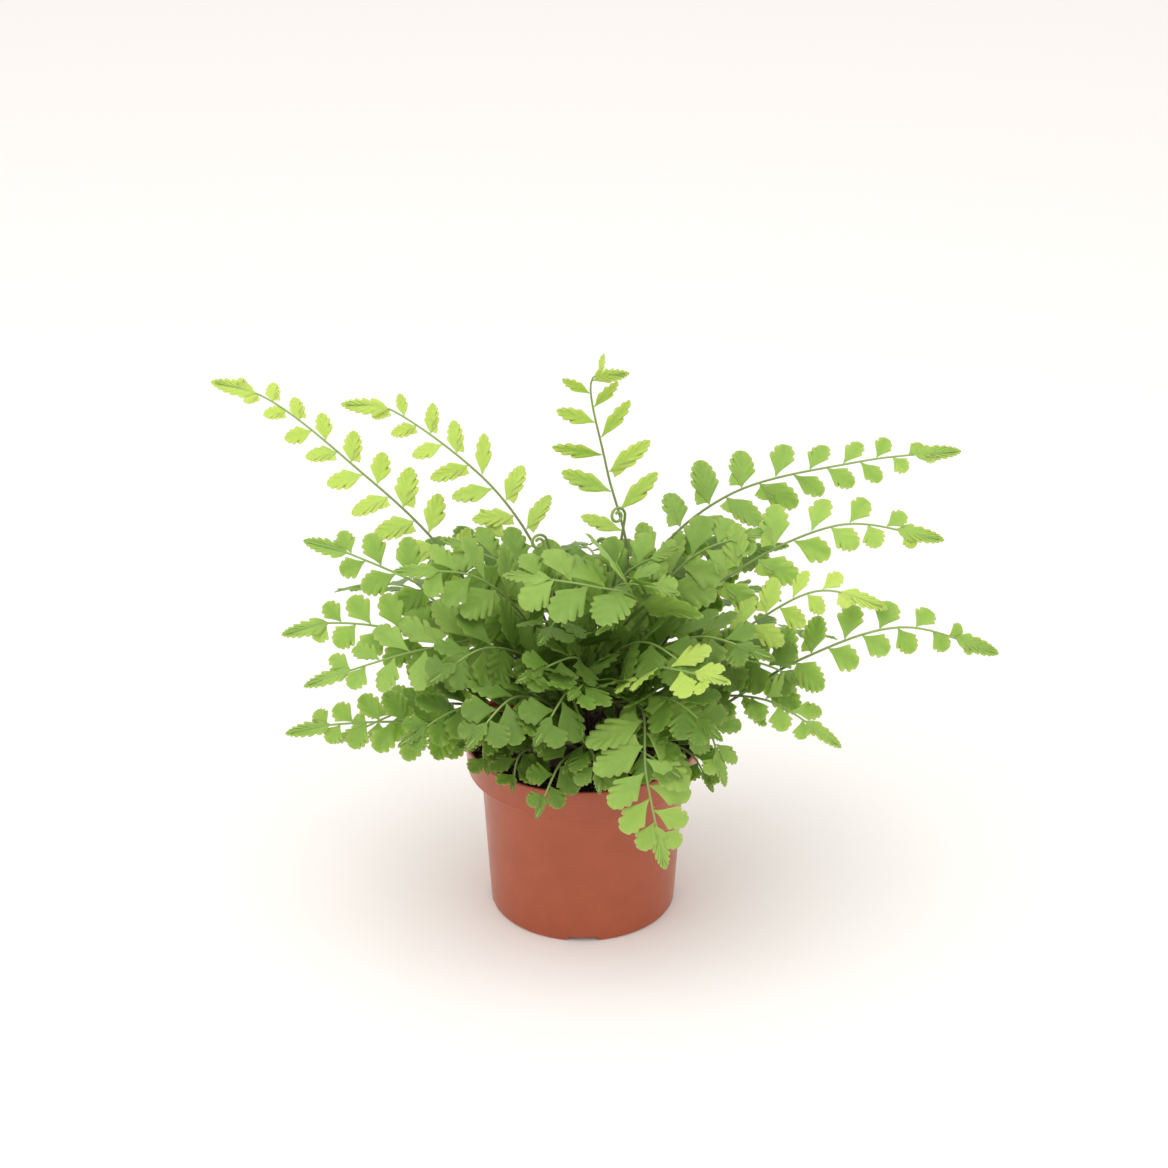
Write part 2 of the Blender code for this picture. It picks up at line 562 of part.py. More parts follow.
def bent_place(corner, level, frond, spine, fitted):
    """Where a flat corner goes on the arched frond, on its upper side (level 1) or under side (-1)."""
    whole = spine.lengths[-1]
    if corner.leaflet is None:
        point, _, right, upper = blade_axes(spine, corner.y, frond.face)
        depth = STEM_DEPTH if corner.y < whole - TERMINAL_LENGTH else LEAF_DEPTH
        return point + right * corner.x + upper * (level * depth / 2)
    leaflet, lift, _ = fitted[corner.leaflet]
    foot, direction, across, upper = leaflet_axes(leaflet, spine, frond.face, lift, whole)
    return foot + direction * corner.along + across * corner.over + upper * (level * LEAF_DEPTH / 2)


def make_frond(frond, spine, fitted, parts, finish):
    """One closed solid: the flat outline is filled, given a thickness and bent along the stalk."""
    left, right = (side_corners(side, spine, fitted) for side in (-1, 1))
    outline = [*left, Corner(0.0, spine.lengths[-1]), *reversed(right)]
    built = bmesh.new()
    number = built.verts.layers.int.new("corner")
    flat = [built.verts.new((corner.x, corner.y, 0.0)) for corner in outline]
    for i, vertex in enumerate(flat):
        vertex[number] = i
    built.faces.new(flat)
    bmesh.ops.triangulate(built, faces=built.faces[:])
    copied = bmesh.ops.extrude_face_region(built, geom=built.faces[:])
    lower = {item for item in copied["geom"] if isinstance(item, bmesh.types.BMVert)}
    for vertex in built.verts:
        level = -1.0 if vertex in lower else 1.0
        vertex.co = bent_place(outline[vertex[number]], level, frond, spine, fitted) * MM
    bmesh.ops.recalc_face_normals(built, faces=built.faces[:])
    mesh = bpy.data.meshes.new(frond.name)
    built.to_mesh(mesh)
    built.free()
    return add_object(frond.name, mesh, parts, finish)


def solid_tree(thing):
    """A search tree, in millimetres, of an object as its modifiers leave it."""
    shown = thing.evaluated_get(bpy.context.evaluated_depsgraph_get())
    mesh = shown.to_mesh()
    corners = [thing.matrix_world @ v.co / MM for v in mesh.vertices]
    faces = [tuple(p.vertices) for p in mesh.polygons]
    shown.to_mesh_clear()
    return tree_of(corners, faces)


def build():
    """Clears the scene and makes every piece of the potted fern."""
    for old in list(bpy.data.objects):
        bpy.data.objects.remove(old, do_unlink=True)
    parts = bpy.data.collections.new("potted_fern")
    cutters = bpy.data.collections.new("cutters")
    for collection in (parts, cutters):
        bpy.context.scene.collection.children.link(collection)

    terracotta_plastic = material("terracotta_plastic", (0.45, 0.11, 0.05), 0.45)
    peat = material("peat", (0.05, 0.028, 0.016), 0.95)
    scales = material("rhizome_scales", (0.06, 0.032, 0.018), 0.9)
    leaf = material("leaf", (0.13, 0.34, 0.04), 0.4)

    fixed = [
        make_pot(parts, cutters, terracotta_plastic),
        make_soil(parts, cutters, peat),
        make_rhizome(parts, scales),
        *(make_crozier(crozier, parts, leaf) for crozier in CROZIERS),
    ]
    bpy.context.view_layer.update()

    taken = [solid_tree(thing) for thing in fixed]
    spines = {frond.name: make_spine(frond) for frond in FRONDS}
    stalks = {frond.name: tree_of(*stalk_tube(frond, spines[frond.name])) for frond in FRONDS}
    for frond in FRONDS:
        spine = spines[frond.name]
        other_stalks = [tree for name, tree in stalks.items() if name != frond.name]
        fitted = fit_leaflets(frond, spine, taken + other_stalks)
        for leaflet, lift, shrink in fitted:
            axes = leaflet_axes(leaflet, spine, frond.face, lift, spine.lengths[-1])
            taken.append(tree_of(*leaflet_prism(leaflet, axes, shrink, LEAF_DEPTH)))
        make_frond(frond, spine, fitted, parts, leaf)


build()
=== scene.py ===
"""The potted fern: looks, camera and light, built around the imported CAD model.

Lengths are in millimetres where a name or a table says nothing else, and MM turns them into metres.
"""

import math
import random
from collections import namedtuple

import bmesh
import bpy
from mathutils import Matrix, Vector, noise
from mathutils.bvhtree import BVHTree


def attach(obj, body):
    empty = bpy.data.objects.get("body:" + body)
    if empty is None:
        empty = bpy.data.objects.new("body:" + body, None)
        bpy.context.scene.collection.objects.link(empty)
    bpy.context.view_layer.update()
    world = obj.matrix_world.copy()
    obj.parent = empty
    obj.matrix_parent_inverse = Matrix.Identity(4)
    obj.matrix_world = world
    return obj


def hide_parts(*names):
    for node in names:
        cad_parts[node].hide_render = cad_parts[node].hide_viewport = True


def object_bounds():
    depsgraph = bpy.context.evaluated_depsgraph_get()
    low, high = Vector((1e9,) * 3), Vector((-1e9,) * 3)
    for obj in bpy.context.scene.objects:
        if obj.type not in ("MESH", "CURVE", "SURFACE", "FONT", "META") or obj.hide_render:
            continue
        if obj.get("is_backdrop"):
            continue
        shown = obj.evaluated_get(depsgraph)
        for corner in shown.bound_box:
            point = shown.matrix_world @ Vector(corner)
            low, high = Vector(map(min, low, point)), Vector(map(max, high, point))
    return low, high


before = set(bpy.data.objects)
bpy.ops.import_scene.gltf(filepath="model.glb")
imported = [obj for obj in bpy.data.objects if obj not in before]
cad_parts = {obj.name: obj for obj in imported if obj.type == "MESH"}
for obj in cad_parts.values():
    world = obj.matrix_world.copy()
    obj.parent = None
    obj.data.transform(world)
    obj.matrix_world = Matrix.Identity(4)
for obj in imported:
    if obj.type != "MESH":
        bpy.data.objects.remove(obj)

cad_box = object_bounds()
MM = 0.001

# ------------------------------------------------------------------------------------------------
# Camera, floor and light
# A long lens looks down on the plant from its front. The floor is a plain pale sheet, lit by a wide
# overhead softbox, two side panels and an even white surround.
# ------------------------------------------------------------------------------------------------
CAMERA_DISTANCE = 1.25
CAMERA_ELEVATION = math.radians(25.3)
LENS = 78.5
AIM = Vector((0.0006, 0.0, 0.177))
LAMP_AIM = Vector((0, 0, 0.15))
SURROUND_LEVEL = 0.95  # for light that the plant and the floor receive; seen directly it is 1



def added(name, data):
    """A new object with this data, in the scene."""
    made = bpy.data.objects.new(name, data)
    bpy.context.scene.collection.objects.link(made)
    return made


def turned_to(made, place, target):
    """Sets a camera or a lamp at a place, facing a target."""
    made.location = place
    made.rotation_euler = (target - made.location).to_track_quat("-Z", "Y").to_euler()


camera_data = bpy.data.cameras.new("camera")
camera_data.lens = LENS
camera_data.sensor_width = 36.0
camera = added("camera", camera_data)
towards_viewer = Vector((0, -math.cos(CAMERA_ELEVATION), math.sin(CAMERA_ELEVATION)))
turned_to(camera, AIM + CAMERA_DISTANCE * towards_viewer, AIM)
bpy.context.scene.camera = camera


def softbox(name, place, size, watts, colour):
    """A square panel of light that faces the plant."""
    panel = bpy.data.lights.new(name, "AREA")
    panel.shape = "SQUARE"
    panel.size = size
    panel.energy = watts
    panel.color = colour
    turned_to(added(name, panel), place, LAMP_AIM)


softbox("overhead", Vector((-0.25, -0.35, 1.7)), 1.5, 9, (1.0, 0.985, 0.96))
softbox("left_panel", Vector((-1.5, -1.0, 0.9)), 1.1, 3, (1.0, 0.99, 0.97))
softbox("right_panel", Vector((1.5, -0.8, 0.8)), 1.1, 2, (1.0, 0.99, 0.97))

surround = bpy.data.worlds.new("surround")
surround.use_nodes = True
bpy.context.scene.world = surround
sky = surround.node_tree
backdrop = sky.nodes["Background"]
backdrop.inputs["Color"].default_value = (1.0, 0.985, 0.97, 1.0)
seen = sky.nodes.new("ShaderNodeLightPath")
mirrored = sky.nodes.new("ShaderNodeMath")
mirrored.operation = "MAXIMUM"
level = sky.nodes.new("ShaderNodeMapRange")
level.inputs["To Min"].default_value = SURROUND_LEVEL
level.inputs["To Max"].default_value = 1.0


def connect(tree, *pairs):
    """Links each pair's output socket to its input socket."""
    for source, target in pairs:
        tree.links.new(source, target)


connect(
    sky,
    (seen.outputs["Is Camera Ray"], mirrored.inputs[0]),
    (seen.outputs["Is Transmission Ray"], mirrored.inputs[1]),
    (mirrored.outputs[0], level.inputs["Value"]),
    (level.outputs["Result"], backdrop.inputs["Strength"]),
)

bpy.context.scene.view_settings.view_transform = "Standard"


def shader_material(name, **settings):
    """A new material, its node tree and its Principled shader, with the shader's inputs set by name."""
    made = bpy.data.materials.new(name)
    made.use_nodes = True
    shader = made.node_tree.nodes["Principled BSDF"]
    for key, value in settings.items():
        shader.inputs[key.replace("_", " ")].default_value = value
    return made, made.node_tree, shader


def add_node(tree, kind, **settings):
    """A node with its settings; a key that names an input sets that input's value."""
    made = tree.nodes.new(kind)
    for key, value in settings.items():
        if hasattr(made, key):
            setattr(made, key, value)
        else:
            made.inputs[key.replace("_", " ")].default_value = value
    return made


def ramp(tree, source, stops):
    """A colour ramp over (position, colour) stops, fed by a socket."""
    made = tree.nodes.new("ShaderNodeValToRGB")
    while len(made.color_ramp.elements) < len(stops):
        made.color_ramp.elements.new(0.5)
    for element, (position, colour) in zip(made.color_ramp.elements, stops):
        element.position = position
        element.color = (*colour, 1.0)
    tree.links.new(source, made.inputs["Fac"])
    return made.outputs["Color"]


def blended(tree, factor, first, second, mode="MIX"):
    """Two colours mixed; each may be a socket or a colour, and factor a socket or a number."""
    made = tree.nodes.new("ShaderNodeMix")
    made.data_type = "RGBA"
    made.blend_type = mode
    for value, socket in ((factor, made.inputs[0]), (first, made.inputs[6]), (second, made.inputs[7])):
        if isinstance(value, bpy.types.NodeSocket):
            tree.links.new(value, socket)
        else:
            socket.default_value = value if isinstance(value, float) else (*value, 1.0)
    return made.outputs[2]


def computed(tree, operation, first, second=0.0, clamp=False):
    """A Math node's result; each operand may be a socket or a number."""
    made = tree.nodes.new("ShaderNodeMath")
    made.operation = operation
    made.use_clamp = clamp
    for value, socket in zip((first, second), made.inputs):
        if isinstance(value, bpy.types.NodeSocket):
            tree.links.new(value, socket)
        else:
            socket.default_value = value
    return made.outputs[0]


def patterned(tree, scale, detail=3.0, roughness=0.5):
    """Noise in object space, in metres."""
    place = tree.nodes.new("ShaderNodeTexCoord")
    made = add_node(tree, "ShaderNodeTexNoise", Scale=scale, Detail=detail, Roughness=roughness)
    tree.links.new(place.outputs["Object"], made.inputs["Vector"])
    return made.outputs["Fac"]


def bumped(tree, shader, height, distance, strength=1.0):
    """Bump on a shader from a height socket; distance is in metres."""
    made = add_node(tree, "ShaderNodeBump", Distance=distance, Strength=strength)
    tree.links.new(height, made.inputs["Height"])
    tree.links.new(made.outputs["Normal"], shader.inputs["Normal"])


floor_mesh = bpy.data.meshes.new("floor")
sheet = bmesh.new()
bmesh.ops.create_grid(sheet, x_segments=1, y_segments=1, size=7.0)
sheet.to_mesh(floor_mesh)
sheet.free()
floor = added("floor", floor_mesh)
floor.location.y = 3.0
floor_mesh.materials.append(shader_material(
    "pale_paper", Base_Color=(0.97, 0.945, 0.925, 1.0), Roughness=0.8, Specular_IOR_Level=0.1)[0])
floor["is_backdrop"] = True

# ------------------------------------------------------------------------------------------------
# Pot
# One thin cup of moulded terracotta-coloured plastic: a rolled rim over a collar, a tapered body and a
# foot cut by four drainage channels. It is injection moulded, so it is satin smooth and faintly marbled.
# ------------------------------------------------------------------------------------------------
POT_HEIGHT = 93.6
RIM_RADIUS = 60.0
COLLAR_FOOT_RADIUS = 58.0
COLLAR_FOOT_Z = 77.5
BODY_TOP_RADIUS = 51.5
BODY_TOP_Z = 74.6
BASE_RADIUS = 47.3
WALL = 1.2
POT_STEPS = 160
SHARP_ANGLE = 38
CHANNELS = 4
CHANNEL_START = 25.0
CHANNEL_HEIGHT = 2.6
CHANNEL_FOOT_WIDTH = 18.6
CHANNEL_ROOF_WIDTH = 14.0
SLOT_WIDTH = 9.0
SLOT_FROM, SLOT_TO = 34.0, 41.0


def arc(centre_r, centre_z, radius, start, end, steps):
    """Profile points on an arc, from one angle to another, in degrees."""
    angles = [math.radians(start + (end - start) * i / steps) for i in range(steps + 1)]
    return [(centre_r + radius * math.cos(a), centre_z + radius * math.sin(a)) for a in angles]


def turned(name, profile, steps):
    """A profile of (radius, height), outer side downwards, turned into a mesh object."""
    mesh = bpy.data.meshes.new(name)
    edges = [(i, i + 1) for i in range(len(profile) - 1)]
    mesh.from_pydata([(r * MM, 0, z * MM) for r, z in profile], edges, [])
    made = added(name, mesh)
    screw = made.modifiers.new("turn", "SCREW")
    screw.steps = screw.render_steps = steps
    screw.use_merge_vertices = True
    screw.merge_threshold = 0.00001
    return made


def applied(made):
    """The object's mesh as its modifiers leave it, with the modifiers gone."""
    bpy.context.view_layer.update()
    graph = bpy.context.evaluated_depsgraph_get()
    evaluated = made.evaluated_get(graph)
    mesh = bpy.data.meshes.new_from_object(evaluated, preserve_all_data_layers=True, depsgraph=graph)
    made.modifiers.clear()
    made.data = mesh
    return made


def wedge(name, start, end, floor_z, height, foot_width, roof_width, angle):
    """A cutter of trapezium section along a radius."""
    built = bmesh.new()
    bmesh.ops.create_cube(built, size=1.0)
    for vertex in built.verts:
        high = vertex.co.z > 0
        vertex.co = Vector((
            end if vertex.co.x > 0 else start,
            vertex.co.y * (roof_width if high else foot_width),
            floor_z + (height if high else 0.0),
        )) * MM
    bmesh.ops.rotate(built, verts=built.verts, cent=(0, 0, 0), matrix=Matrix.Rotation(angle, 3, "Z"))
    mesh = bpy.data.meshes.new(name)
    built.to_mesh(mesh)
    built.free()
    return added(name, mesh)


inside = [
    (0.0, WALL),
    *arc(BASE_RADIUS - WALL - 1.4, WALL + 1.4, 1.4, -90, 0, 5),
    (BODY_TOP_RADIUS - WALL, BODY_TOP_Z + 0.6),
    *arc(BODY_TOP_RADIUS - WALL + 1.2, BODY_TOP_Z + 0.6, 1.2, 180, 100, 4),
    (COLLAR_FOOT_RADIUS - WALL - 1.4, COLLAR_FOOT_Z + 0.9),
    (COLLAR_FOOT_RADIUS - WALL - 0.4, COLLAR_FOOT_Z + 2.2),
    (RIM_RADIUS - WALL - 0.2, POT_HEIGHT - 1.2),
]
outside = [
    *arc(RIM_RADIUS - 0.75, POT_HEIGHT - 0.75, 0.75, 180, 0, 8),
    (RIM_RADIUS, POT_HEIGHT - 1.8),
    (RIM_RADIUS - 0.5, POT_HEIGHT - 2.3),
    (RIM_RADIUS - 0.6, POT_HEIGHT - 3.2),
    (COLLAR_FOOT_RADIUS + 0.55, COLLAR_FOOT_Z + 3.0),
    *arc(COLLAR_FOOT_RADIUS - 1.2, COLLAR_FOOT_Z + 0.9, 1.6, 10, -80, 6),
    (BODY_TOP_RADIUS + 1.5, BODY_TOP_Z + 1.2),
    *arc(BODY_TOP_RADIUS + 1.4, BODY_TOP_Z - 0.2, 1.4, 100, 180, 4),
    (BODY_TOP_RADIUS - 2.1, BODY_TOP_Z * 0.5),
    (BASE_RADIUS, 1.9),
    *arc(BASE_RADIUS - 1.6, 1.6, 1.6, 0, -90, 5),
    (0.0, 0.0),
]
pot = turned("nursery_pot", inside + outside, POT_STEPS)
cutters = []
for i in range(CHANNELS):
    angle = math.radians(-90 + 360 / CHANNELS * i)
    shapes = (
        ("UNION", CHANNEL_START, BASE_RADIUS - 1.4, WALL / 2, CHANNEL_HEIGHT + WALL / 2,
         CHANNEL_FOOT_WIDTH + 2 * WALL, CHANNEL_ROOF_WIDTH + 2 * WALL),
        ("DIFFERENCE", CHANNEL_START + 1.4, BASE_RADIUS + 10, -1.0, CHANNEL_HEIGHT + 1.0,
         CHANNEL_FOOT_WIDTH, CHANNEL_ROOF_WIDTH),
        ("DIFFERENCE", SLOT_FROM, SLOT_TO, CHANNEL_HEIGHT - 1.0, 4.0, SLOT_WIDTH, SLOT_WIDTH),
    )
    for operation, *sizes in shapes:
        cutters.append(wedge("channel", *sizes, angle))
        cut = pot.modifiers.new("channel", "BOOLEAN")
        cut.operation = operation
        cut.object = cutters[-1]
        cut.solver = "EXACT"
applied(pot)
for cutter in cutters:
    bpy.data.objects.remove(cutter, do_unlink=True)
pot.data.shade_smooth()
pot.data.set_sharp_from_angle(angle=math.radians(SHARP_ANGLE))

plastic, plastic_tree, plastic_shader = shader_material(
    "terracotta_plastic", Subsurface_Weight=0.12, Subsurface_Radius=(1.0, 0.35, 0.2), Subsurface_Scale=0.002)
marbling = ramp(plastic_tree, patterned(plastic_tree, 55.0, 5.0, 0.6), (
    (0.3, (0.34, 0.068, 0.022)), (0.55, (0.37, 0.076, 0.026)), (0.8, (0.40, 0.086, 0.032))))
plastic_tree.links.new(marbling, plastic_shader.inputs["Base Color"])
sheen = computed(plastic_tree, "MULTIPLY_ADD", patterned(plastic_tree, 160.0, 4.0), 0.16)
sheen.node.inputs[2].default_value = 0.24
plastic_tree.links.new(sheen, plastic_shader.inputs["Roughness"])
bumped(plastic_tree, plastic_shader, patterned(plastic_tree, 900.0, 2.0), 0.00006, 0.5)
pot.data.materials.append(plastic)
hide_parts("pot")
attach(pot, "root")

# ------------------------------------------------------------------------------------------------
# Fronds: stalk lines
# Each leaf grew in one piece from the rhizome: an arching stalk with alternate leaflets. The stalks
# follow the CAD fronds' routes, and the leaflets are fitted between their neighbours as the CAD ones are.
# ------------------------------------------------------------------------------------------------
GAP = 0.3
SOIL_TOP_Z = 89.0
RHIZOME_RADIUS = 30.0
RHIZOME_HEIGHT = 14.0
STEM_FOOT_HALF = 0.9  # half the stalk's width where it leaves the rhizome
STEM_TIP_HALF = 0.45
STEM_DEPTH = 1.5
STALK_STATIONS = 24  # stretches of the tube that stands in for a stalk in the clearance tests
STALK_MARGIN = 0.15
SPINE_SAMPLES = 64
LEAF_DEPTH = 0.7
LEAF_CLEARANCE = 0.45  # space kept free above and below each leaflet
LEAFLET_FOOT = 1.5  # width of a leaflet's own stalk
FOOT_ANGLE, TIP_ANGLE = 66, 44  # degrees between the stalk and its lowest and highest leaflets
TERMINAL_LENGTH = 6.5  # the leaflet that ends the CAD frond
LIFTS = (0, 8, -8, 16, -16, 25, -25, 36, -36, 50, -50)  # degrees a leaflet may turn out of the blade
SHRINKS = (1.0, 0.82, 0.66, 0.5, 0.36)
Frond = namedtuple("Frond", "name exit ring route face bare leaflets length width")

# exit: compass angle, in degrees, at which the stalk leaves the rhizome, and ring its distance from the
# middle. route: points that the stalk passes through, ending at the tip. face: the way the upper side
# looks. bare: share of the stalk below the first leaflet. leaflets: how many, both sides together.
# length, width: the longest leaflet's.
FRONDS = (
    # the long, high fronds
    Frond("frond_high_far_left", 160, 17,
          ((-68, 25, 181), (-117, 50, 221), (-156, 60, 250), (-184, 65, 258)),
          (0.25, -0.80, 0.55), 0.34, 19, 25, 12),
    Frond("frond_high_left", 128, 12, ((-15, 15, 167), (-43, 40, 209), (-92, 55, 245), (-118, 55, 250)),
          (0.30, -0.85, 0.45), 0.42, 15, 26, 10),
    Frond("frond_high_middle", 62, 10, ((23, 36, 165), (12, 54, 216), (4, 43, 266), (20, 25, 277)),
          (0.05, -0.95, 0.25), 0.45, 12, 32, 10),
    Frond("frond_high_right", 38, 15, ((30, 20, 172), (73, 45, 205), (137, 52, 220), (186, 45, 229)),
          (-0.10, -0.72, 0.68), 0.34, 19, 26, 13),
    Frond("frond_small_left", 128, 6, ((-15, 9, 142), (-32, 20, 180), (-50, 34, 201)),
          (0.20, -0.90, 0.40), 0.62, 6, 13, 7),
    # right side
    Frond("frond_right_upper", 8, 17, ((59, 0, 170), (121, 4, 206), (172, -10, 206)),
          (0.00, -0.75, 0.66), 0.40, 13, 26, 14),
    Frond("frond_right_bright", 346, 16, ((34, -10, 132), (69, -20, 156), (110, -34, 189), (142, -46, 187)),
          (0.05, -0.62, 0.78), 0.42, 12, 23, 11),
    Frond("frond_right_long", 330, 23, ((62, -16, 114), (103, -40, 155), (150, -50, 178), (196, -50, 165)),
          (0.05, -0.78, 0.62), 0.28, 17, 24, 14),
    Frond("frond_right_low", 322, 27, ((52, -24, 124), (88, -46, 137), (121, -70, 126)),
          (0.00, -0.55, 0.83), 0.30, 12, 26, 13),
    Frond("frond_right_hanging", 306, 24, ((34, -30, 126), (57, -58, 134), (67, -84, 113)),
          (0.35, -0.70, 0.62), 0.42, 9, 24, 15),
    # front
    Frond("frond_front_hanging", 286, 21, ((11, -29, 124), (28, -54, 137), (30, -82, 116), (39, -92, 72)),
          (0.05, -0.92, 0.38), 0.34, 15, 29, 13),
    Frond("frond_front_bright", 297, 10, ((20, -24, 134), (34, -56, 160), (66, -92, 171)),
          (0.05, -0.45, 0.88), 0.46, 9, 26, 12),
    Frond("frond_front_level", 330, 8, ((15, -12, 150), (26, -38, 186), (2, -50, 200), (-36, -44, 203)),
          (0.05, -0.42, 0.90), 0.44, 11, 36, 18),
    Frond("frond_front_left_drooping", 262, 14, ((-3, -30, 132), (-8, -60, 148), (-22, -80, 132)),
          (-0.10, -0.92, 0.35), 0.34, 10, 31, 17),
    Frond("frond_front_low", 250, 24, ((-3, -42, 108), (-12, -62, 109), (-22, -78, 91)),
          (0.00, -0.85, 0.50), 0.44, 7, 16, 10),
    Frond("frond_front_right_low", 311, 28, ((36, -36, 108), (52, -54, 112), (62, -70, 101)),
          (0.20, -0.70, 0.68), 0.40, 8, 19, 12),
    Frond("frond_soil_left", 216, 27, ((-38, -28, 108), (-48, -42, 109), (-46, -56, 102)),
          (-0.10, -0.72, 0.68), 0.40, 7, 17, 11),
    Frond("frond_soil_front_left", 236, 26, ((-22, -36, 106), (-31, -50, 108), (-34, -66, 98)),
          (-0.10, -0.75, 0.66), 0.40, 7, 18, 11),
    # left side
    Frond("frond_left_upper", 178, 16, ((-26, 0, 134), (-71, -4, 173), (-112, -5, 195), (-134, 0, 200)),
          (0.10, -0.82, 0.58), 0.40, 12, 26, 14),
    Frond("frond_left_broad", 190, 10, ((-22, -5, 150), (-50, -17, 188), (-88, -34, 200)),
          (-0.05, -0.55, 0.83), 0.36, 11, 32, 16),
    Frond("frond_left_middle", 196, 19,
          ((-40, -12, 134), (-85, -22, 161), (-120, -25, 168), (-143, -30, 165)),
          (0.05, -0.72, 0.70), 0.38, 13, 24, 14),
    Frond("frond_left_scalloped", 208, 17, ((-37, -18, 152), (-77, -38, 160), (-130, -60, 153)),
          (0.05, -0.50, 0.86), 0.32, 14, 30, 14),
    Frond("frond_left_low", 206, 28, ((-46, -22, 108), (-85, -46, 125), (-119, -56, 129), (-140, -60, 127)),
          (0.00, -0.70, 0.72), 0.30, 14, 22, 14),
    Frond("frond_left_short", 190, 27, ((-42, -9, 112), (-80, -22, 121), (-121, -34, 108)),
          (0.00, -0.60, 0.80), 0.32, 12, 21, 13),
    # the dense middle
    Frond("frond_inner_top", 300, 3, ((5, -7, 150), (16, -22, 186), (44, -46, 194)),
          (0.00, -0.50, 0.87), 0.38, 10, 27, 16),
    Frond("frond_inner_middle", 252, 4, ((-3, -8, 142), (-10, -28, 172), (-20, -62, 176)),
          (0.00, -0.55, 0.83), 0.36, 11, 28, 17),
    Frond("frond_inner_front_left", 242, 17, ((-15, -34, 128), (-34, -62, 146), (-54, -88, 134)),
          (0.00, -0.65, 0.76), 0.32, 11, 28, 17),
    Frond("frond_inner_front_low", 268, 22, ((-2, -42, 112), (4, -64, 120), (8, -84, 108)),
          (0.00, -0.75, 0.66), 0.32, 10, 22, 14),
    Frond("frond_inner_front_right", 308, 19, ((22, -28, 126), (42, -58, 144), (64, -86, 138)),
          (0.00, -0.60, 0.80), 0.32, 11, 27, 16),
    Frond("frond_inner_left_low", 220, 20, ((-32, -26, 118), (-58, -52, 136), (-86, -74, 128)),
          (0.00, -0.60, 0.80), 0.28, 12, 25, 15),
    Frond("frond_inner_right_low", 342, 22, ((40, -12, 128), (78, -30, 150), (112, -50, 146)),
          (0.00, -0.60, 0.80), 0.30, 12, 25, 15),
    Frond("frond_inner_back_left", 138, 19, ((-26, 24, 142), (-56, 38, 172), (-90, 44, 176)),
          (0.05, -0.35, 0.93), 0.34, 12, 27, 15),
    Frond("frond_inner_back_right", 34, 22, ((38, 26, 142), (66, 36, 172), (102, 40, 180)),
          (-0.05, -0.35, 0.93), 0.34, 12, 27, 15),
    Frond("frond_inner_back", 80, 14, ((4, 28, 142), (6, 50, 168), (-4, 84, 162)),
          (0.00, 0.10, 0.99), 0.34, 12, 27, 15),
    Frond("frond_inner_left", 228, 12, ((-20, -18, 140), (-46, -40, 162), (-72, -64, 156)),
          (0.00, -0.55, 0.83), 0.34, 11, 28, 15),
    Frond("frond_inner_front", 280, 15, ((2, -26, 128), (2, -52, 150), (-6, -84, 158)),
          (0.00, -0.60, 0.80), 0.36, 10, 30, 16),
    Frond("frond_inner_right", 318, 12, ((26, -18, 142), (56, -40, 168), (88, -66, 170)),
          (0.00, -0.55, 0.83), 0.34, 12, 27, 14),
    Frond("frond_inner_top_left", 165, 7, ((-11, 2, 146), (-32, 6, 180), (-68, 10, 197)),
          (0.05, -0.45, 0.89), 0.38, 11, 30, 15),
    Frond("frond_inner_top_right", 20, 8, ((22, 6, 146), (54, 12, 186), (92, 14, 200)),
          (-0.05, -0.50, 0.86), 0.38, 12, 28, 15),
    Frond("frond_centre_left", 270, 9, ((0, -22, 132), (-4, -46, 160), (-30, -70, 160)),
          (0.00, -0.65, 0.76), 0.36, 10, 25, 16),
    Frond("frond_centre_right", 290, 5, ((8, -14, 138), (30, -42, 166), (56, -76, 164)),
          (0.00, -0.60, 0.80), 0.36, 10, 25, 16),
    Frond("frond_centre_low", 276, 27, ((4, -44, 110), (24, -66, 122), (46, -84, 116)),
          (0.00, -0.70, 0.71), 0.34, 9, 22, 14),
    Frond("frond_centre_top", 40, 3, ((6, 4, 142), (20, 6, 178), (46, -8, 200)),
          (0.00, -0.60, 0.80), 0.40, 10, 24, 15),
    # back
    Frond("frond_back_left", 150, 26, ((-46, 26, 128), (-88, 52, 150), (-128, 72, 140)),
          (0.00, 0.15, 0.98), 0.34, 13, 25, 13),
    Frond("frond_back_left_low", 133, 28, ((-38, 42, 114), (-64, 72, 122), (-88, 98, 104)),
          (0.00, 0.40, 0.91), 0.34, 11, 24, 13),
    Frond("frond_back_middle_left", 116, 22, ((-22, 42, 130), (-38, 84, 146), (-48, 122, 128)),
          (0.00, 0.40, 0.91), 0.36, 12, 25, 13),
    Frond("frond_back_middle", 92, 20, ((0, 44, 132), (-4, 88, 148), (2, 130, 128)),
          (0.00, 0.40, 0.91), 0.36, 13, 25, 13),
    Frond("frond_back_hanging", 98, 29, ((-8, 46, 108), (-10, 68, 110), (-12, 86, 86)),
          (0.00, 0.85, 0.52), 0.40, 8, 20, 12),
    Frond("frond_back_middle_right", 66, 23, ((22, 42, 130), (44, 82, 146), (60, 116, 130)),
          (0.00, 0.40, 0.91), 0.36, 12, 25, 13),
    Frond("frond_back_right", 46, 27, ((40, 38, 126), (76, 66, 142), (104, 90, 126)),
          (0.00, 0.35, 0.93), 0.34, 12, 25, 13),
    Frond("frond_back_right_low", 20, 28, ((50, 18, 118), (90, 36, 134), (130, 48, 124)),
          (0.00, 0.15, 0.98), 0.32, 13, 23, 13),
)

Spine = namedtuple("Spine", "points lengths")


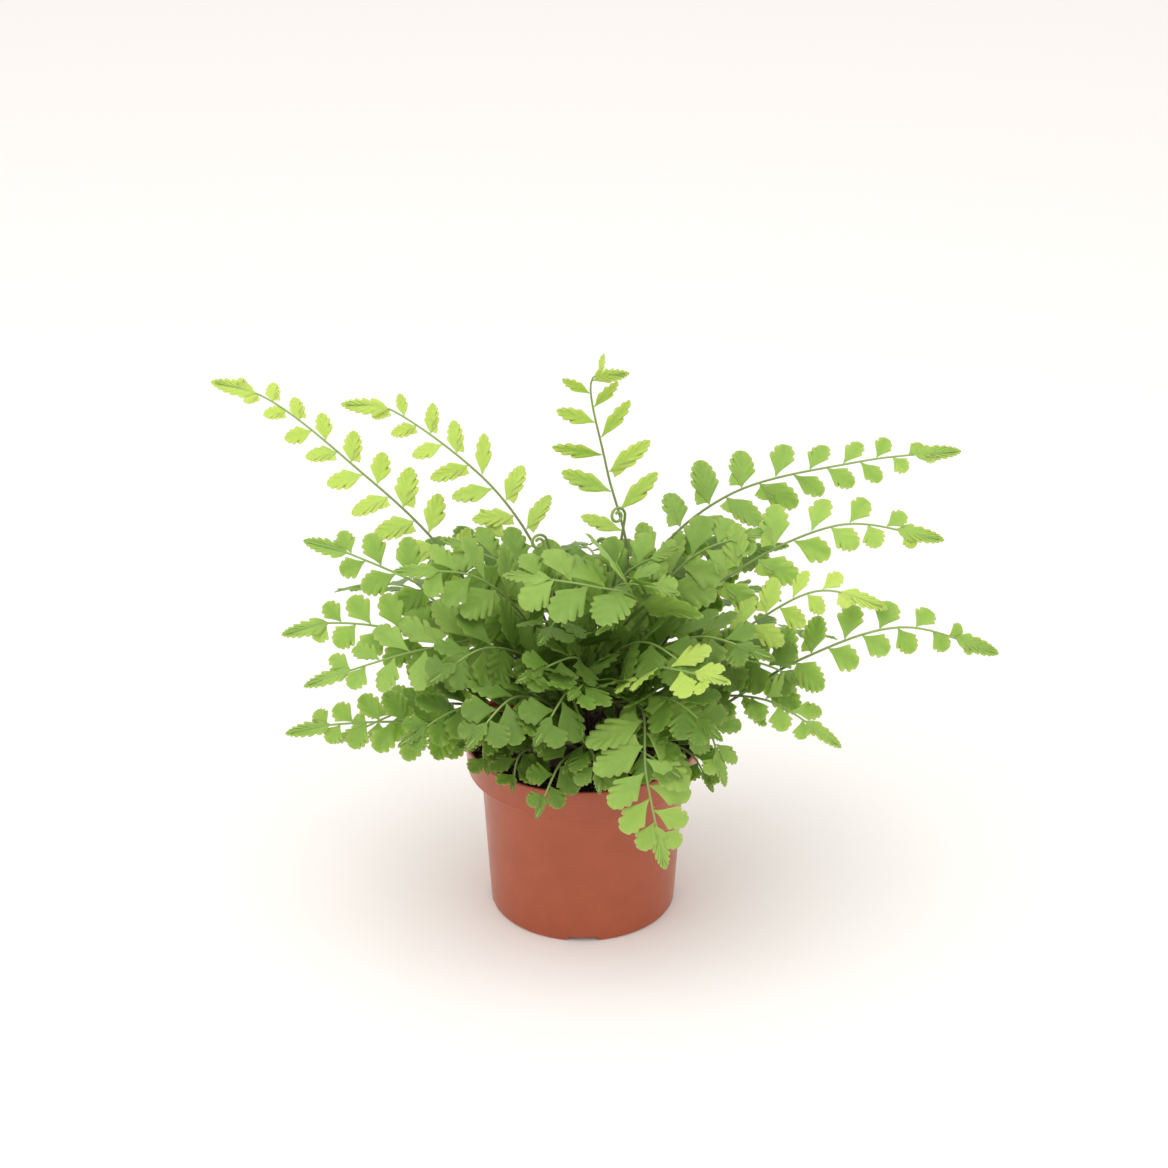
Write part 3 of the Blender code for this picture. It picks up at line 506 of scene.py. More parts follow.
def spline(points, samples):
    """Points along a Catmull-Rom curve that passes through all of points."""
    ends = [2 * points[0] - points[1], *points, 2 * points[-1] - points[-2]]
    made = []
    pieces = len(points) - 1
    for i in range(samples + 1):
        place = i / samples * pieces
        piece = min(int(place), pieces - 1)
        t = place - piece
        a, b, c, d = ends[piece : piece + 4]
        made.append(0.5 * (2 * b + (c - a) * t + (2 * a - 5 * b + 4 * c - d) * t * t
                           + (3 * b - a - 3 * c + d) * t * t * t))
    return made


def rhizome_height(radius):
    """Height of the rhizome's surface above the soil, at a distance from the middle."""
    return RHIZOME_HEIGHT * math.sqrt(max(0.0, 1 - (radius / RHIZOME_RADIUS) ** 2))


def exit_point(compass, ring, onwards):
    """Where a stalk starts: just clear of the rhizome's surface, whatever its slant there."""
    angle = math.radians(compass)
    around = Vector((math.cos(angle), math.sin(angle), 0))
    surface = around * ring + Vector((0, 0, SOIL_TOP_Z + GAP + rhizome_height(ring)))
    slope = Vector((around.x * ring / RHIZOME_RADIUS**2, around.y * ring / RHIZOME_RADIUS**2,
                    rhizome_height(ring) / RHIZOME_HEIGHT**2)).normalized()
    lean = slope.cross((onwards - surface).normalized()).length
    return surface + slope * (GAP + math.hypot(STEM_FOOT_HALF, STEM_DEPTH / 2) * lean)


def make_spine(plant):
    """The stalk's centre line from the rhizome to the tip, with the length run at each of its points."""
    first = exit_point(plant.exit, plant.ring, Vector(plant.route[0]))
    points = spline([first, *(Vector(p) for p in plant.route)], SPINE_SAMPLES)
    lengths = [0.0]
    for a, b in zip(points, points[1:]):
        lengths.append(lengths[-1] + (b - a).length)
    return Spine(points, lengths)


def spine_at(spine, run):
    """The point and the direction of the stalk at a length run along it."""
    run = min(max(run, 0.0), spine.lengths[-1])
    i = 0
    while i < len(spine.lengths) - 2 and spine.lengths[i + 1] < run:
        i += 1
    a, b = spine.points[i], spine.points[i + 1]
    share = (run - spine.lengths[i]) / (spine.lengths[i + 1] - spine.lengths[i])
    before = spine.points[max(i - 1, 0)]
    after = spine.points[min(i + 2, len(spine.points) - 1)]
    here, there = (b - before).normalized(), (after - a).normalized()
    return a.lerp(b, share), here.lerp(there, share).normalized()


def blade_axes(spine, run, face):
    """Point, direction, right-hand side and upper side of the frond at a length run along its stalk."""
    point, along = spine_at(spine, run)
    face = Vector(face)
    upper = (face - along * face.dot(along)).normalized()
    return point, along, along.cross(upper).normalized(), upper


def stem_half(share):
    """Half the stalk's width at a share of its length."""
    return STEM_FOOT_HALF + (STEM_TIP_HALF - STEM_FOOT_HALF) * share


Leaflet = namedtuple("Leaflet", "run side angle length width")


def leaflet_plan(frond, spine):
    """The frond's leaflets: they alternate, crowd together towards the tip and get shorter there."""
    whole = spine.lengths[-1]
    start = whole * frond.bare
    blade = whole - start
    made = []
    for i in range(frond.leaflets):
        share = i / frond.leaflets
        run = start + blade * share * (1.12 - 0.12 * share)
        swell = min(1.0, 0.72 + share * 1.6)
        length = frond.length * swell * (1 - share) ** 0.62
        spacing = 2 * blade / frond.leaflets * (1.12 - 0.24 * share)
        angle = math.radians(FOOT_ANGLE + (TIP_ANGLE - FOOT_ANGLE) * share)
        room = 0.94 * spacing * math.sin(angle)
        width = min(frond.width * swell * (1 - share) ** 0.35, room, 0.9 * length)
        made.append(Leaflet(run, 1 if i % 2 else -1, angle, length, width))
    return made


def leaflet_outline(leaflet):
    """(along, across) corners of a leaflet, from one side of its foot round its tip to the other."""
    foot, wide = LEAFLET_FOOT / 2, leaflet.width / 2
    return [(0.0, -foot), (leaflet.length * 0.58, -wide), (leaflet.length, 0.0),
            (leaflet.length * 0.68, wide), (0.0, foot)]


def leaflet_axes(leaflet, spine, face, lift, whole):
    """Foot, direction, cross direction and upper side of a leaflet turned out of the blade by lift."""
    point, along, right, upper = blade_axes(spine, leaflet.run, face)
    outward = right * (leaflet.side * math.cos(lift)) + upper * math.sin(lift)
    foot = point + outward * stem_half(leaflet.run / whole)
    direction = outward * math.sin(leaflet.angle) + along * math.cos(leaflet.angle)
    across = along * math.sin(leaflet.angle) - outward * math.cos(leaflet.angle)
    return foot, direction, across, outward.cross(along).normalized() * leaflet.side


def leaflet_prism(leaflet, axes, shrink, depth):
    """A leaflet's corners as a closed prism, to test it against its neighbours."""
    foot, direction, across, upper = axes
    flat = [(a * shrink, c * (shrink if a > 0 else 1.0)) for a, c in leaflet_outline(leaflet)]
    count = len(flat)
    corners = [foot + direction * a + across * c + upper * z
               for z in (depth / 2, -depth / 2) for a, c in flat]
    sides = [(i, (i + 1) % count, count + (i + 1) % count, count + i) for i in range(count)]
    return corners, [tuple(range(count)), tuple(range(2 * count - 1, count - 1, -1)), *sides]


def stalk_tube(frond, spine):
    """The stalk as a four-sided tube, a little fat, to test leaflets against."""
    corners, faces = [], []
    whole = spine.lengths[-1]
    deep = STEM_DEPTH / 2 + STALK_MARGIN
    for i in range(STALK_STATIONS + 1):
        share = i / STALK_STATIONS
        point, _, right, upper = blade_axes(spine, whole * share, frond.face)
        half = stem_half(share) + STALK_MARGIN
        for x, y in ((half, deep), (-half, deep), (-half, -deep), (half, -deep)):
            corners.append(point + right * x + upper * y)
        if i:
            old, new = 4 * (i - 1), 4 * i
            faces += [(old + k, old + (k + 1) % 4, new + (k + 1) % 4, new + k) for k in range(4)]
    return corners, faces


def tree_of(corners, faces):
    """A search tree of a mesh."""
    return BVHTree.FromPolygons(corners, faces, epsilon=0.0)


def fit_leaflet(leaflet, spine, face, others):
    """(leaflet, lift, shrink) at which the leaflet clears every solid in others, or None."""
    whole = spine.lengths[-1]
    for shrink in SHRINKS:
        for degrees in LIFTS:
            lift = math.radians(degrees)
            axes = leaflet_axes(leaflet, spine, face, lift, whole)
            tree = tree_of(*leaflet_prism(leaflet, axes, shrink, LEAF_DEPTH + 2 * LEAF_CLEARANCE))
            if not any(tree.overlap(other) for other in others):
                return leaflet, lift, shrink
    return None


def fit_leaflets(frond, spine, others):
    """The frond's leaflets, each turned and, where it is crowded, made smaller until it is clear."""
    found = [fit_leaflet(leaflet, spine, frond.face, others) for leaflet in leaflet_plan(frond, spine)]
    last = spine.lengths[-1] - TERMINAL_LENGTH - LEAFLET_FOOT
    return [entry for entry in found if entry and entry[0].run < last]


def node_tree_of(name):
    """A search tree, in millimetres, of a CAD node."""
    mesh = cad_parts[name].data
    return tree_of([v.co / MM for v in mesh.vertices], [tuple(p.vertices) for p in mesh.polygons])


croziers = [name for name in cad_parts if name.startswith("crozier")]
taken = [node_tree_of(name) for name in ("pot", "soil", "rhizome", *croziers)]
spines = {frond.name: make_spine(frond) for frond in FRONDS}
stalk_trees = {frond.name: tree_of(*stalk_tube(frond, spines[frond.name])) for frond in FRONDS}
leaflets = {}
for frond in FRONDS:
    spine = spines[frond.name]
    other_stalks = [tree for name, tree in stalk_trees.items() if name != frond.name]
    leaflets[frond.name] = fit_leaflets(frond, spine, taken + other_stalks)
    for leaflet, lift, shrink in leaflets[frond.name]:
        axes = leaflet_axes(leaflet, spine, frond.face, lift, spine.lengths[-1])
        taken.append(tree_of(*leaflet_prism(leaflet, axes, shrink, LEAF_DEPTH)))

# ------------------------------------------------------------------------------------------------
# Leaflet shapes
# A leaflet is a thin leathery blade: wedge-shaped at its foot, broad and rounded towards its tip, with
# a scalloped edge. Its veins fork forwards from the midrib to the scallops; the leaf material draws them as
# pale bands across the blade. The lower leaflets carry a small round lobe of their own beside the foot.
# ------------------------------------------------------------------------------------------------
WEDGE_ROWS = 4
ROWS_PER_LOBE = 5
HALF_COLUMNS = 3
LeafShape = namedtuple("LeafShape", "lobes depth wide_at point droop fold pinnule")

# lobes: scallops on each side, and depth how far they are cut in. wide_at: where along it the leaflet is
# widest. point: how pointed its end is. droop, fold: how far it bends down and along its midrib.
LEAF_SHAPES = (
    LeafShape(4, 0.26, 0.50, 0.95, 0.16, 0.16, False),
    LeafShape(3, 0.28, 0.54, 0.88, 0.05, 0.26, False),
    LeafShape(4, 0.28, 0.46, 1.05, 0.24, 0.10, True),
    LeafShape(5, 0.26, 0.42, 1.10, 0.12, 0.20, True),
    LeafShape(5, 0.34, 0.34, 1.35, 0.14, 0.20, True),
    LeafShape(4, 0.34, 0.38, 1.25, 0.06, 0.16, False),
    LeafShape(7, 0.42, 0.18, 1.40, 0.10, 0.14, False),
)
BROAD, BROAD_LOBED, SLENDER, TERMINAL = (0, 1), (2, 3), (4, 5), 6
PINNULE_SHAPE = LeafShape(3, 0.18, 0.60, 0.85, 0.05, 0.1, False)
PINNULE_PLACE = (0.02, 0.05, 0.004)
PINNULE_TURN = 0.85
PINNULE_SIZE = Matrix.Diagonal((0.55, 0.46, 0.5, 1))


def leaf_edge(step, shape, lag):
    """The edge point (across, along) of a leaf one unit long and wide, at a row of its grid."""
    if step <= WEDGE_ROWS:
        share = step / (WEDGE_ROWS + 1)
        return 0.03 + 0.38 * share ** 1.7, shape.wide_at * share * 0.88
    lobe_step = (step - WEDGE_ROWS) / (shape.lobes * ROWS_PER_LOBE)
    turn = math.pi / 2 * lobe_step
    across = 0.5 * math.cos(turn) ** (shape.point * 0.9)
    along = shape.wide_at + (1 - shape.wide_at) * math.sin(turn) ** (1 / max(shape.point, 0.9))
    bump = abs(math.sin(math.pi * (lobe_step * shape.lobes + lag))) ** 0.5
    pull = 1 - shape.depth * (1 - bump) * min(1.0, (1 - lobe_step) * 2.2)
    return across * pull, along - shape.depth * (1 - bump) * 0.22 * (1 - lobe_step)


def leaf_sheet(built, shape, place, mirror):
    """Adds one leaf blade to a mesh: an upper and a lower sheet that meet at the edge."""
    uv_layer = built.loops.layers.uv.verify()
    under_layer = built.verts.layers.float.get("under")
    rows = WEDGE_ROWS + shape.lobes * ROWS_PER_LOBE
    columns = range(-HALF_COLUMNS, HALF_COLUMNS + 1)
    spots = {}

    def vertex(x, y, z, under, uv):
        made = built.verts.new(place @ Vector((x * mirror, y, z)))
        made[under_layer] = under
        spots[made] = uv
        return made

    def relief(x, y, share, a):
        ripple = 0.020 * a * a * math.sin(2 * math.pi * shape.lobes * share + 1)
        return shape.fold * abs(x) - shape.droop * y * y - 0.32 * abs(x) ** 2 + ripple

    foot = vertex(0, 0, 0, 0.5, (0.5, 0.0))
    tip = vertex(0, 1.0, relief(0, 1.0, 1.0, 0), 0.5, (0.5, 1.0))
    sheets = []
    for layer, sign in ((0.0, 1.0), (1.0, -1.0)):
        grid = []
        for i in range(1, rows):
            share = i / rows
            row = []
            for j in columns:
                if sheets and abs(j) == HALF_COLUMNS:
                    row.append(sheets[0][i - 1][j + HALF_COLUMNS])
                    continue
                a = j / HALF_COLUMNS
                edge_x, edge_y = leaf_edge(i, shape, 0.0 if j > 0 else 0.25)
                middle = 0.97 * share ** 1.25
                x = math.copysign(edge_x * abs(a), a) if a else 0.0
                y = middle + (edge_y - middle) * abs(a) ** 1.2
                thick = 0.009 * (1 - a * a) ** 0.5 + (0.006 if j == 0 and sign < 0 else 0.0)
                under = 0.5 if abs(j) == HALF_COLUMNS else layer
                z = relief(x, y, share, a) + sign * thick
                row.append(vertex(x, y, z, under, (0.5 + a / 2, share)))
            grid.append(row)
        sheets.append(grid)
    for grid in sheets:
        for j in range(2 * HALF_COLUMNS):
            built.faces.new((foot, grid[0][j], grid[0][j + 1]))
            built.faces.new((tip, grid[-1][j + 1], grid[-1][j]))
            for low, high in zip(grid, grid[1:]):
                built.faces.new((low[j], high[j], high[j + 1], low[j + 1]))
    for face in built.faces:
        face.smooth = True
        for loop in face.loops:
            if loop.vert in spots:
                loop[uv_layer].uv = spots[loop.vert]


templates = bpy.data.collections.new("leaflet_templates")
for number, shape in enumerate(LEAF_SHAPES):
    for mirror in (1, -1):
        built = bmesh.new()
        built.verts.layers.float.new("under")
        leaf_sheet(built, shape, Matrix.Identity(4), mirror)
        if shape.pinnule:
            x, y, z = PINNULE_PLACE
            side = Matrix.Translation((x * mirror, y, z)) @ Matrix.Rotation(-PINNULE_TURN * mirror, 4, "Z")
            leaf_sheet(built, PINNULE_SHAPE, side @ PINNULE_SIZE, mirror)
        bmesh.ops.recalc_face_normals(built, faces=built.faces[:])
        under_layer = built.verts.layers.float["under"]
        for rim in built.edges:
            rim.smooth = not all(vertex[under_layer] == 0.5 for vertex in rim.verts)
        mesh = bpy.data.meshes.new(f"leaflet_{number}_{mirror}")
        built.to_mesh(mesh)
        built.free()
        templates.objects.link(bpy.data.objects.new(f"leaflet_{number}_{0 if mirror > 0 else 1}", mesh))

# ------------------------------------------------------------------------------------------------
# Leaf and stalk materials
# Leaves are satin and a little waxy: yellow-green when young and deep green when old, with pale veins,
# a thin pale edge and a lighter under side. The fronds on the soil, and partly those in the crowded middle
# and back, are given a darker green as painted shade. Stalks are green above and dark brown at the foot.
# ------------------------------------------------------------------------------------------------
VEINS = 14
MIDRIB_SHARPNESS = 26.0
EDGE_START, EDGE_SHARPNESS = 0.475, 40.0

leaf, leaf_tree, leaf_shader = shader_material(
    "fern_leaf", Specular_IOR_Level=0.26, Subsurface_Weight=0.35, Subsurface_Radius=(0.7, 1.0, 0.25),
    Subsurface_Scale=0.0012)
tint = add_node(leaf_tree, "ShaderNodeAttribute", attribute_name="tint")
mottle = patterned(leaf_tree, 70.0, 4.0, 0.6)
fine_mottle = patterned(leaf_tree, 420.0, 3.0, 0.6)
shift = computed(leaf_tree, "MULTIPLY", computed(leaf_tree, "SUBTRACT", mottle, 0.5), 0.30)
# The colour's place on the age scale: each frond's tint with a random mottle. For the fronds on the soil the
# tint is painted shade, and for the inner and back fronds it is partly painted shade.
age_and_shade = computed(leaf_tree, "ADD", tint.outputs["Fac"], shift, True)
body_colour = ramp(leaf_tree, age_and_shade, (
    (0.0, (0.52, 0.69, 0.125)), (0.3, (0.29, 0.46, 0.085)), (0.6, (0.095, 0.205, 0.018)),
    (1.0, (0.022, 0.056, 0.003))))
leaf_uv = leaf_tree.nodes.new("ShaderNodeUVMap")
leaf_uv.uv_map = "UVMap"
split = leaf_tree.nodes.new("ShaderNodeSeparateXYZ")
leaf_tree.links.new(leaf_uv.outputs["UV"], split.inputs["Vector"])
from_middle = computed(leaf_tree, "ABSOLUTE", computed(leaf_tree, "SUBTRACT", split.outputs["X"], 0.5))
off_midrib = computed(leaf_tree, "MULTIPLY", from_middle, MIDRIB_SHARPNESS)
midrib = computed(leaf_tree, "SUBTRACT", 1.0, off_midrib, True)
comb = computed(leaf_tree, "SINE", computed(leaf_tree, "MULTIPLY", split.outputs["Y"], 2 * math.pi * VEINS))
veins = computed(leaf_tree, "MULTIPLY", computed(leaf_tree, "SUBTRACT", comb, 0.72), 3.5, True)
near_edge = computed(leaf_tree, "SUBTRACT", from_middle, EDGE_START)
edge = computed(leaf_tree, "MULTIPLY", near_edge, EDGE_SHARPNESS, True)
pale = blended(leaf_tree, 0.40, body_colour, (0.42, 0.56, 0.13))
with_veins = blended(leaf_tree, computed(leaf_tree, "MULTIPLY", veins, 0.16), body_colour, pale)
with_midrib = blended(leaf_tree, computed(leaf_tree, "MULTIPLY", midrib, 0.55), with_veins, pale)
with_edge = blended(leaf_tree, computed(leaf_tree, "MULTIPLY", edge, 0.5), with_midrib, pale)
under = add_node(leaf_tree, "ShaderNodeAttribute", attribute_name="under")
is_below = computed(leaf_tree, "GREATER_THAN", under.outputs["Fac"], 0.6)
two_sided = blended(leaf_tree, computed(leaf_tree, "MULTIPLY", is_below, 0.35), with_edge, pale)
speckles = computed(leaf_tree, "MULTIPLY", fine_mottle, 0.22)
speckled = blended(leaf_tree, speckles, two_sided, (0.10, 0.22, 0.03))
leaf_tree.links.new(speckled, leaf_shader.inputs["Base Color"])
gloss = computed(leaf_tree, "MULTIPLY_ADD", fine_mottle, 0.22)
gloss.node.inputs[2].default_value = 0.30
leaf_tree.links.new(gloss, leaf_shader.inputs["Roughness"])
vein_depth = computed(leaf_tree, "MULTIPLY", veins, -0.45)
midrib_depth = computed(leaf_tree, "MULTIPLY", midrib, -1.0)
relief_height = computed(leaf_tree, "ADD", vein_depth, midrib_depth)
bumped(leaf_tree, leaf_shader, computed(leaf_tree, "ADD", relief_height, fine_mottle), 0.00022, 0.6)

stalk, stalk_tree, stalk_shader = shader_material("fern_stalk", Roughness=0.42)
rise = add_node(stalk_tree, "ShaderNodeAttribute", attribute_name="rise")
streak = patterned(stalk_tree, 260.0, 3.0)
streak_shift = computed(stalk_tree, "MULTIPLY", computed(stalk_tree, "SUBTRACT", streak, 0.5), 0.25)
stalk_age = computed(stalk_tree, "ADD", rise.outputs["Fac"], streak_shift)
stalk_colour = ramp(stalk_tree, stalk_age, (
    (0.0, (0.035, 0.018, 0.010)), (0.16, (0.075, 0.045, 0.018)), (0.36, (0.13, 0.17, 0.045)),
    (0.8, (0.26, 0.40, 0.09))))
stalk_tree.links.new(stalk_colour, stalk_shader.inputs["Base Color"])
bumped(stalk_tree, stalk_shader, streak, 0.0002, 0.5)

# ------------------------------------------------------------------------------------------------
# Fronds: one mesh each
# A node tree sweeps the stalk along its line and sets a leaflet shape on each point that is marked as
# a leaflet, turned and sized as the point says. The blades are broader than the CAD ones, and a lobed one
# ends each frond. The fronds of the middle also carry a few leaflets low on the stalk.
# ------------------------------------------------------------------------------------------------
def geometry_tree(name, sockets):
    """A geometry node tree with named inputs, its input node and its output node."""
    tree = bpy.data.node_groups.new(name, "GeometryNodeTree")
    tree.interface.new_socket("Geometry", in_out="INPUT", socket_type="NodeSocketGeometry")
    for label, kind in sockets:
        tree.interface.new_socket(label, in_out="INPUT", socket_type=kind)
    tree.interface.new_socket("Geometry", in_out="OUTPUT", socket_type="NodeSocketGeometry")
    return tree, tree.nodes.new("NodeGroupInput"), tree.nodes.new("NodeGroupOutput")


def add_tree(made, tree, **values):
    """The tree as a modifier, with its inputs set by their identifiers."""
    grown = made.modifiers.new(tree.name, "NODES")
    grown.node_group = tree
    for item in tree.interface.items_tree:
        if item.in_out == "INPUT" and item.name in values:
            grown[item.identifier] = values[item.name]


def named(tree, name, kind):
    """A named attribute's socket."""
    made = add_node(tree, "GeometryNodeInputNamedAttribute", data_type=kind)
    made.inputs["Name"].default_value = name
    return made.outputs["Attribute"]


def swept_stalk(tree, points, material, sides):
    """A round stalk along a line of points, as thick as their attribute says; returns its geometry."""
    line = tree.nodes.new("GeometryNodeMeshToCurve")
    ring = add_node(tree, "GeometryNodeCurvePrimitiveCircle", mode="RADIUS", Resolution=sides, Radius=1.0)
    swept = tree.nodes.new("GeometryNodeCurveToMesh")
    swept.inputs["Fill Caps"].default_value = True
    finish = tree.nodes.new("GeometryNodeSetMaterial")
    connect(
        tree,
        (points, line.inputs["Mesh"]),
        (line.outputs["Curve"], swept.inputs["Curve"]),
        (named(tree, "thickness", "FLOAT"), swept.inputs["Scale"]),
        (ring.outputs["Curve"], swept.inputs["Profile Curve"]),
        (swept.outputs["Mesh"], finish.inputs["Geometry"]),
        (material, finish.inputs["Material"]),
    )
    return finish.outputs["Geometry"]


def picked_shapes(tree, collection, points):
    """Instances, one shape from a collection on each point; returns the node that places them."""
    shapes = add_node(tree, "GeometryNodeCollectionInfo", transform_space="ORIGINAL")
    shapes.inputs["Separate Children"].default_value = True
    shapes.inputs["Reset Children"].default_value = True
    placed = tree.nodes.new("GeometryNodeInstanceOnPoints")
    placed.inputs["Pick Instance"].default_value = True
    connect(
        tree,
        (collection, shapes.inputs["Collection"]),
        (shapes.outputs[0], placed.inputs["Instance"]),
        (points, placed.inputs["Points"]),
    )
    return placed


frond_tree, given, result = geometry_tree("frond", (
    ("Leaflets", "NodeSocketCollection"), ("Blade", "NodeSocketMaterial"), ("Stem", "NodeSocketMaterial")))
parted = add_node(frond_tree, "GeometryNodeSeparateGeometry", domain="POINT")
placed = picked_shapes(frond_tree, given.outputs["Leaflets"], parted.outputs["Selection"])
real = frond_tree.nodes.new("GeometryNodeRealizeInstances")
blade_set = frond_tree.nodes.new("GeometryNodeSetMaterial")
stem = swept_stalk(frond_tree, parted.outputs["Inverted"], given.outputs["Stem"], 10)
joined = frond_tree.nodes.new("GeometryNodeJoinGeometry")
connect(
    frond_tree,
    (given.outputs["Geometry"], parted.inputs["Geometry"]),
    (named(frond_tree, "is_leaflet", "BOOLEAN"), parted.inputs["Selection"]),
    (named(frond_tree, "shape", "INT"), placed.inputs["Instance Index"]),
    (named(frond_tree, "turn", "QUATERNION"), placed.inputs["Rotation"]),
    (named(frond_tree, "size", "FLOAT_VECTOR"), placed.inputs["Scale"]),
    (placed.outputs["Instances"], real.inputs["Geometry"]),
    (real.outputs["Geometry"], blade_set.inputs["Geometry"]),
    (given.outputs["Blade"], blade_set.inputs["Material"]),
    (stem, joined.inputs["Geometry"]),
    (blade_set.outputs["Geometry"], joined.inputs["Geometry"]),
    (joined.outputs["Geometry"], result.inputs["Geometry"]),
)

# How old each frond's leaf is, from 0, just opened and yellow-green, to 1, deep green
AGES = {
    "frond_high_far_left": 0.04, "frond_high_left": 0.08, "frond_high_middle": 0.10,
    "frond_small_left": 0.06, "frond_high_right": 0.42, "frond_right_upper": 0.34,
    "frond_right_bright": 0.12, "frond_right_long": 0.46,
    "frond_right_low": 0.42, "frond_right_hanging": 0.50, "frond_front_hanging": 0.36,
    "frond_front_bright": 0.0, "frond_front_level": 0.46, "frond_front_left_drooping": 0.72,
    "frond_front_low": 0.80, "frond_left_upper": 0.44, "frond_left_broad": 0.50,
    "frond_left_scalloped": 0.44, "frond_left_low": 0.46, "frond_left_short": 0.44,
    "frond_left_middle": 0.42, "frond_inner_top": 0.50, "frond_inner_top_left": 0.52,
    "frond_inner_top_right": 0.50, "frond_centre_top": 0.50,
}
# deep green for the inner, centre and back fronds, partly their age and partly painted shade of the crowded
# middle
OTHER_AGE_AND_SHADE = 0.78  # for the fronds that AGES leaves out
# darkest green for the fronds that lie on the soil: painted shade
PAINTED_SHADE_ON_SOIL = 1.0  # for those that lie on the soil
TIP_LIGHTER, TERMINAL_LIGHTER = 0.10, 0.12  # how much younger a frond looks towards its tip
LOBED_BELOW = 0.4  # share of the blade whose leaflets carry the small lobe
TWIST, SWAY, PITCH_DOWN, PITCH_UP = 0.34, 0.18, 0.26, 0.12  # radians a leaflet may lean at random
SLENDER_FRONDS = {"frond_high_far_left", "frond_high_left", "frond_high_middle", "frond_small_left"}
Habit = namedtuple("Habit", "growth spread")
OPEN_HABIT = Habit(1.10, 1.24)
SLENDER_HABIT = Habit(1.04, 1.12)
DENSE_HABIT = Habit(1.22, 1.50)
DENSE_WORDS = ("inner", "centre", "soil", "front")
STALK_RINGS = 44
LOW_WORDS = ("inner", "centre")  # fronds that also carry leaflets on the lower stalk
LOW_LEAFLETS = 5
LOW_FROM, LOW_STEP = 0.42, 0.11  # shares of the bare stalk
LOW_LENGTH, LOW_WIDTH = 15.0, 11.5
TIP_SHARE, TIP_MOST = 0.17, 24.0  # length of the blade that ends a frond
TIP_COVER = 0.62  # share of that blade which takes the place of leaflets


def quaternion_of(right, along, upper):
    """The turn that takes X, Y and Z to three directions at right angles."""
    return Matrix((right, along, upper)).transposed().to_quaternion()


def grow_frond(frond, number):
    """Adds one frond: its stalk line and leaflet points first, then what the node tree makes of them."""
    rng = random.Random(number)
    spine, fitted = spines[frond.name], leaflets[frond.name]
    whole = spine.lengths[-1]
    # The frond's colour on the age scale: painted shade for the fronds on the soil, and partly painted shade
    # for those that AGES leaves out
    age_and_shade = AGES.get(frond.name, PAINTED_SHADE_ON_SOIL if "soil" in frond.name else OTHER_AGE_AND_SHADE)
    tip_length = min(TIP_MOST, whole * TIP_SHARE)
    fitted = [entry for entry in fitted if entry[0].run < whole - tip_length * TIP_COVER]
    first_run = whole * frond.bare
    if any(word in frond.name for word in LOW_WORDS):
        for k in range(LOW_LEAFLETS):
            run = first_run * (LOW_FROM + LOW_STEP * k)
            low = Leaflet(run, 1 if k % 2 else -1, fitted[0][0].angle, LOW_LENGTH, LOW_WIDTH)
            fitted.append((low, 0.0, 1.0))
    habit = DENSE_HABIT if any(word in frond.name for word in DENSE_WORDS) else OPEN_HABIT
    if frond.name in SLENDER_FRONDS:
        habit = SLENDER_HABIT
    points, facts = [], []
    for i in range(STALK_RINGS + 1):
        share = i / STALK_RINGS
        place, _ = spine_at(spine, whole * share)
        points.append(place * MM)
        facts.append((False, 0, (1, 0, 0, 0), (1, 1, 1), (stem_half(share) * 0.95) * MM, share, 0.0))
    last = len(points) - 1
    for leaflet, lift, shrink in fitted:
        foot, direction, across, upper = leaflet_axes(leaflet, spine, frond.face, lift, whole)
        twist = Matrix.Rotation(rng.uniform(-TWIST, TWIST), 3, direction)
        pitch = Matrix.Rotation(rng.uniform(-PITCH_DOWN, PITCH_UP), 3, across)
        sway = Matrix.Rotation(rng.uniform(-SWAY, SWAY), 3, upper)
        direction, upper = sway @ pitch @ direction, twist @ pitch @ upper
        upper = (upper - direction * upper.dot(direction)).normalized()
        share = (leaflet.run - first_run) / (whole - first_run)
        kinds = SLENDER if frond.name in SLENDER_FRONDS else (BROAD_LOBED if share < LOBED_BELOW else BROAD)
        ease = shrink ** 0.6
        length = leaflet.length * ease * habit.growth * rng.uniform(0.94, 1.04) * MM
        width = leaflet.width * ease * habit.spread * rng.uniform(0.94, 1.06) * MM
        points.append((foot - direction * 0.4) * MM)
        facts.append((True, 2 * rng.choice(kinds) + (0 if leaflet.side > 0 else 1),
                      quaternion_of(direction.cross(upper), direction, upper),
                      (width, length, (width + length) / 2), 0.0, 1.0,
                      age_and_shade + rng.uniform(-0.07, 0.07) - TIP_LIGHTER * share))
    place, _, _, upper = blade_axes(spine, whole - tip_length * 0.9, frond.face)
    along = (spine_at(spine, whole)[0] - place).normalized()
    upper = (upper - along * upper.dot(along)).normalized()
    points.append((place + upper * 0.5) * MM)
    facts.append((True, 2 * TERMINAL, quaternion_of(along.cross(upper), along, upper),
                  (tip_length * 0.38 * MM, tip_length * MM, tip_length * 0.8 * MM), 0.0, 1.0,
                  age_and_shade - TERMINAL_LIGHTER))
    mesh = bpy.data.meshes.new(frond.name)
    mesh.from_pydata(points, [(i, i + 1) for i in range(last)], [])
    columns = (("is_leaflet", "BOOLEAN"), ("shape", "INT"), ("turn", "QUATERNION"), ("size", "FLOAT_VECTOR"),
               ("thickness", "FLOAT"), ("rise", "FLOAT"), ("tint", "FLOAT"))
    for column, (label, kind) in enumerate(columns):
        attribute = mesh.attributes.new(label, kind, "POINT")
        for item, fact in zip(attribute.data, facts):
            if kind == "FLOAT_VECTOR":
                item.vector = fact[column]
            else:
                item.value = fact[column]
    made = added(f"leaf_{frond.name}", mesh)
    add_tree(made, frond_tree, Leaflets=templates, Blade=leaf, Stem=stalk)
    applied(made)
    made.data.shade_smooth()
    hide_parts(frond.name)
    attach(made, "root")


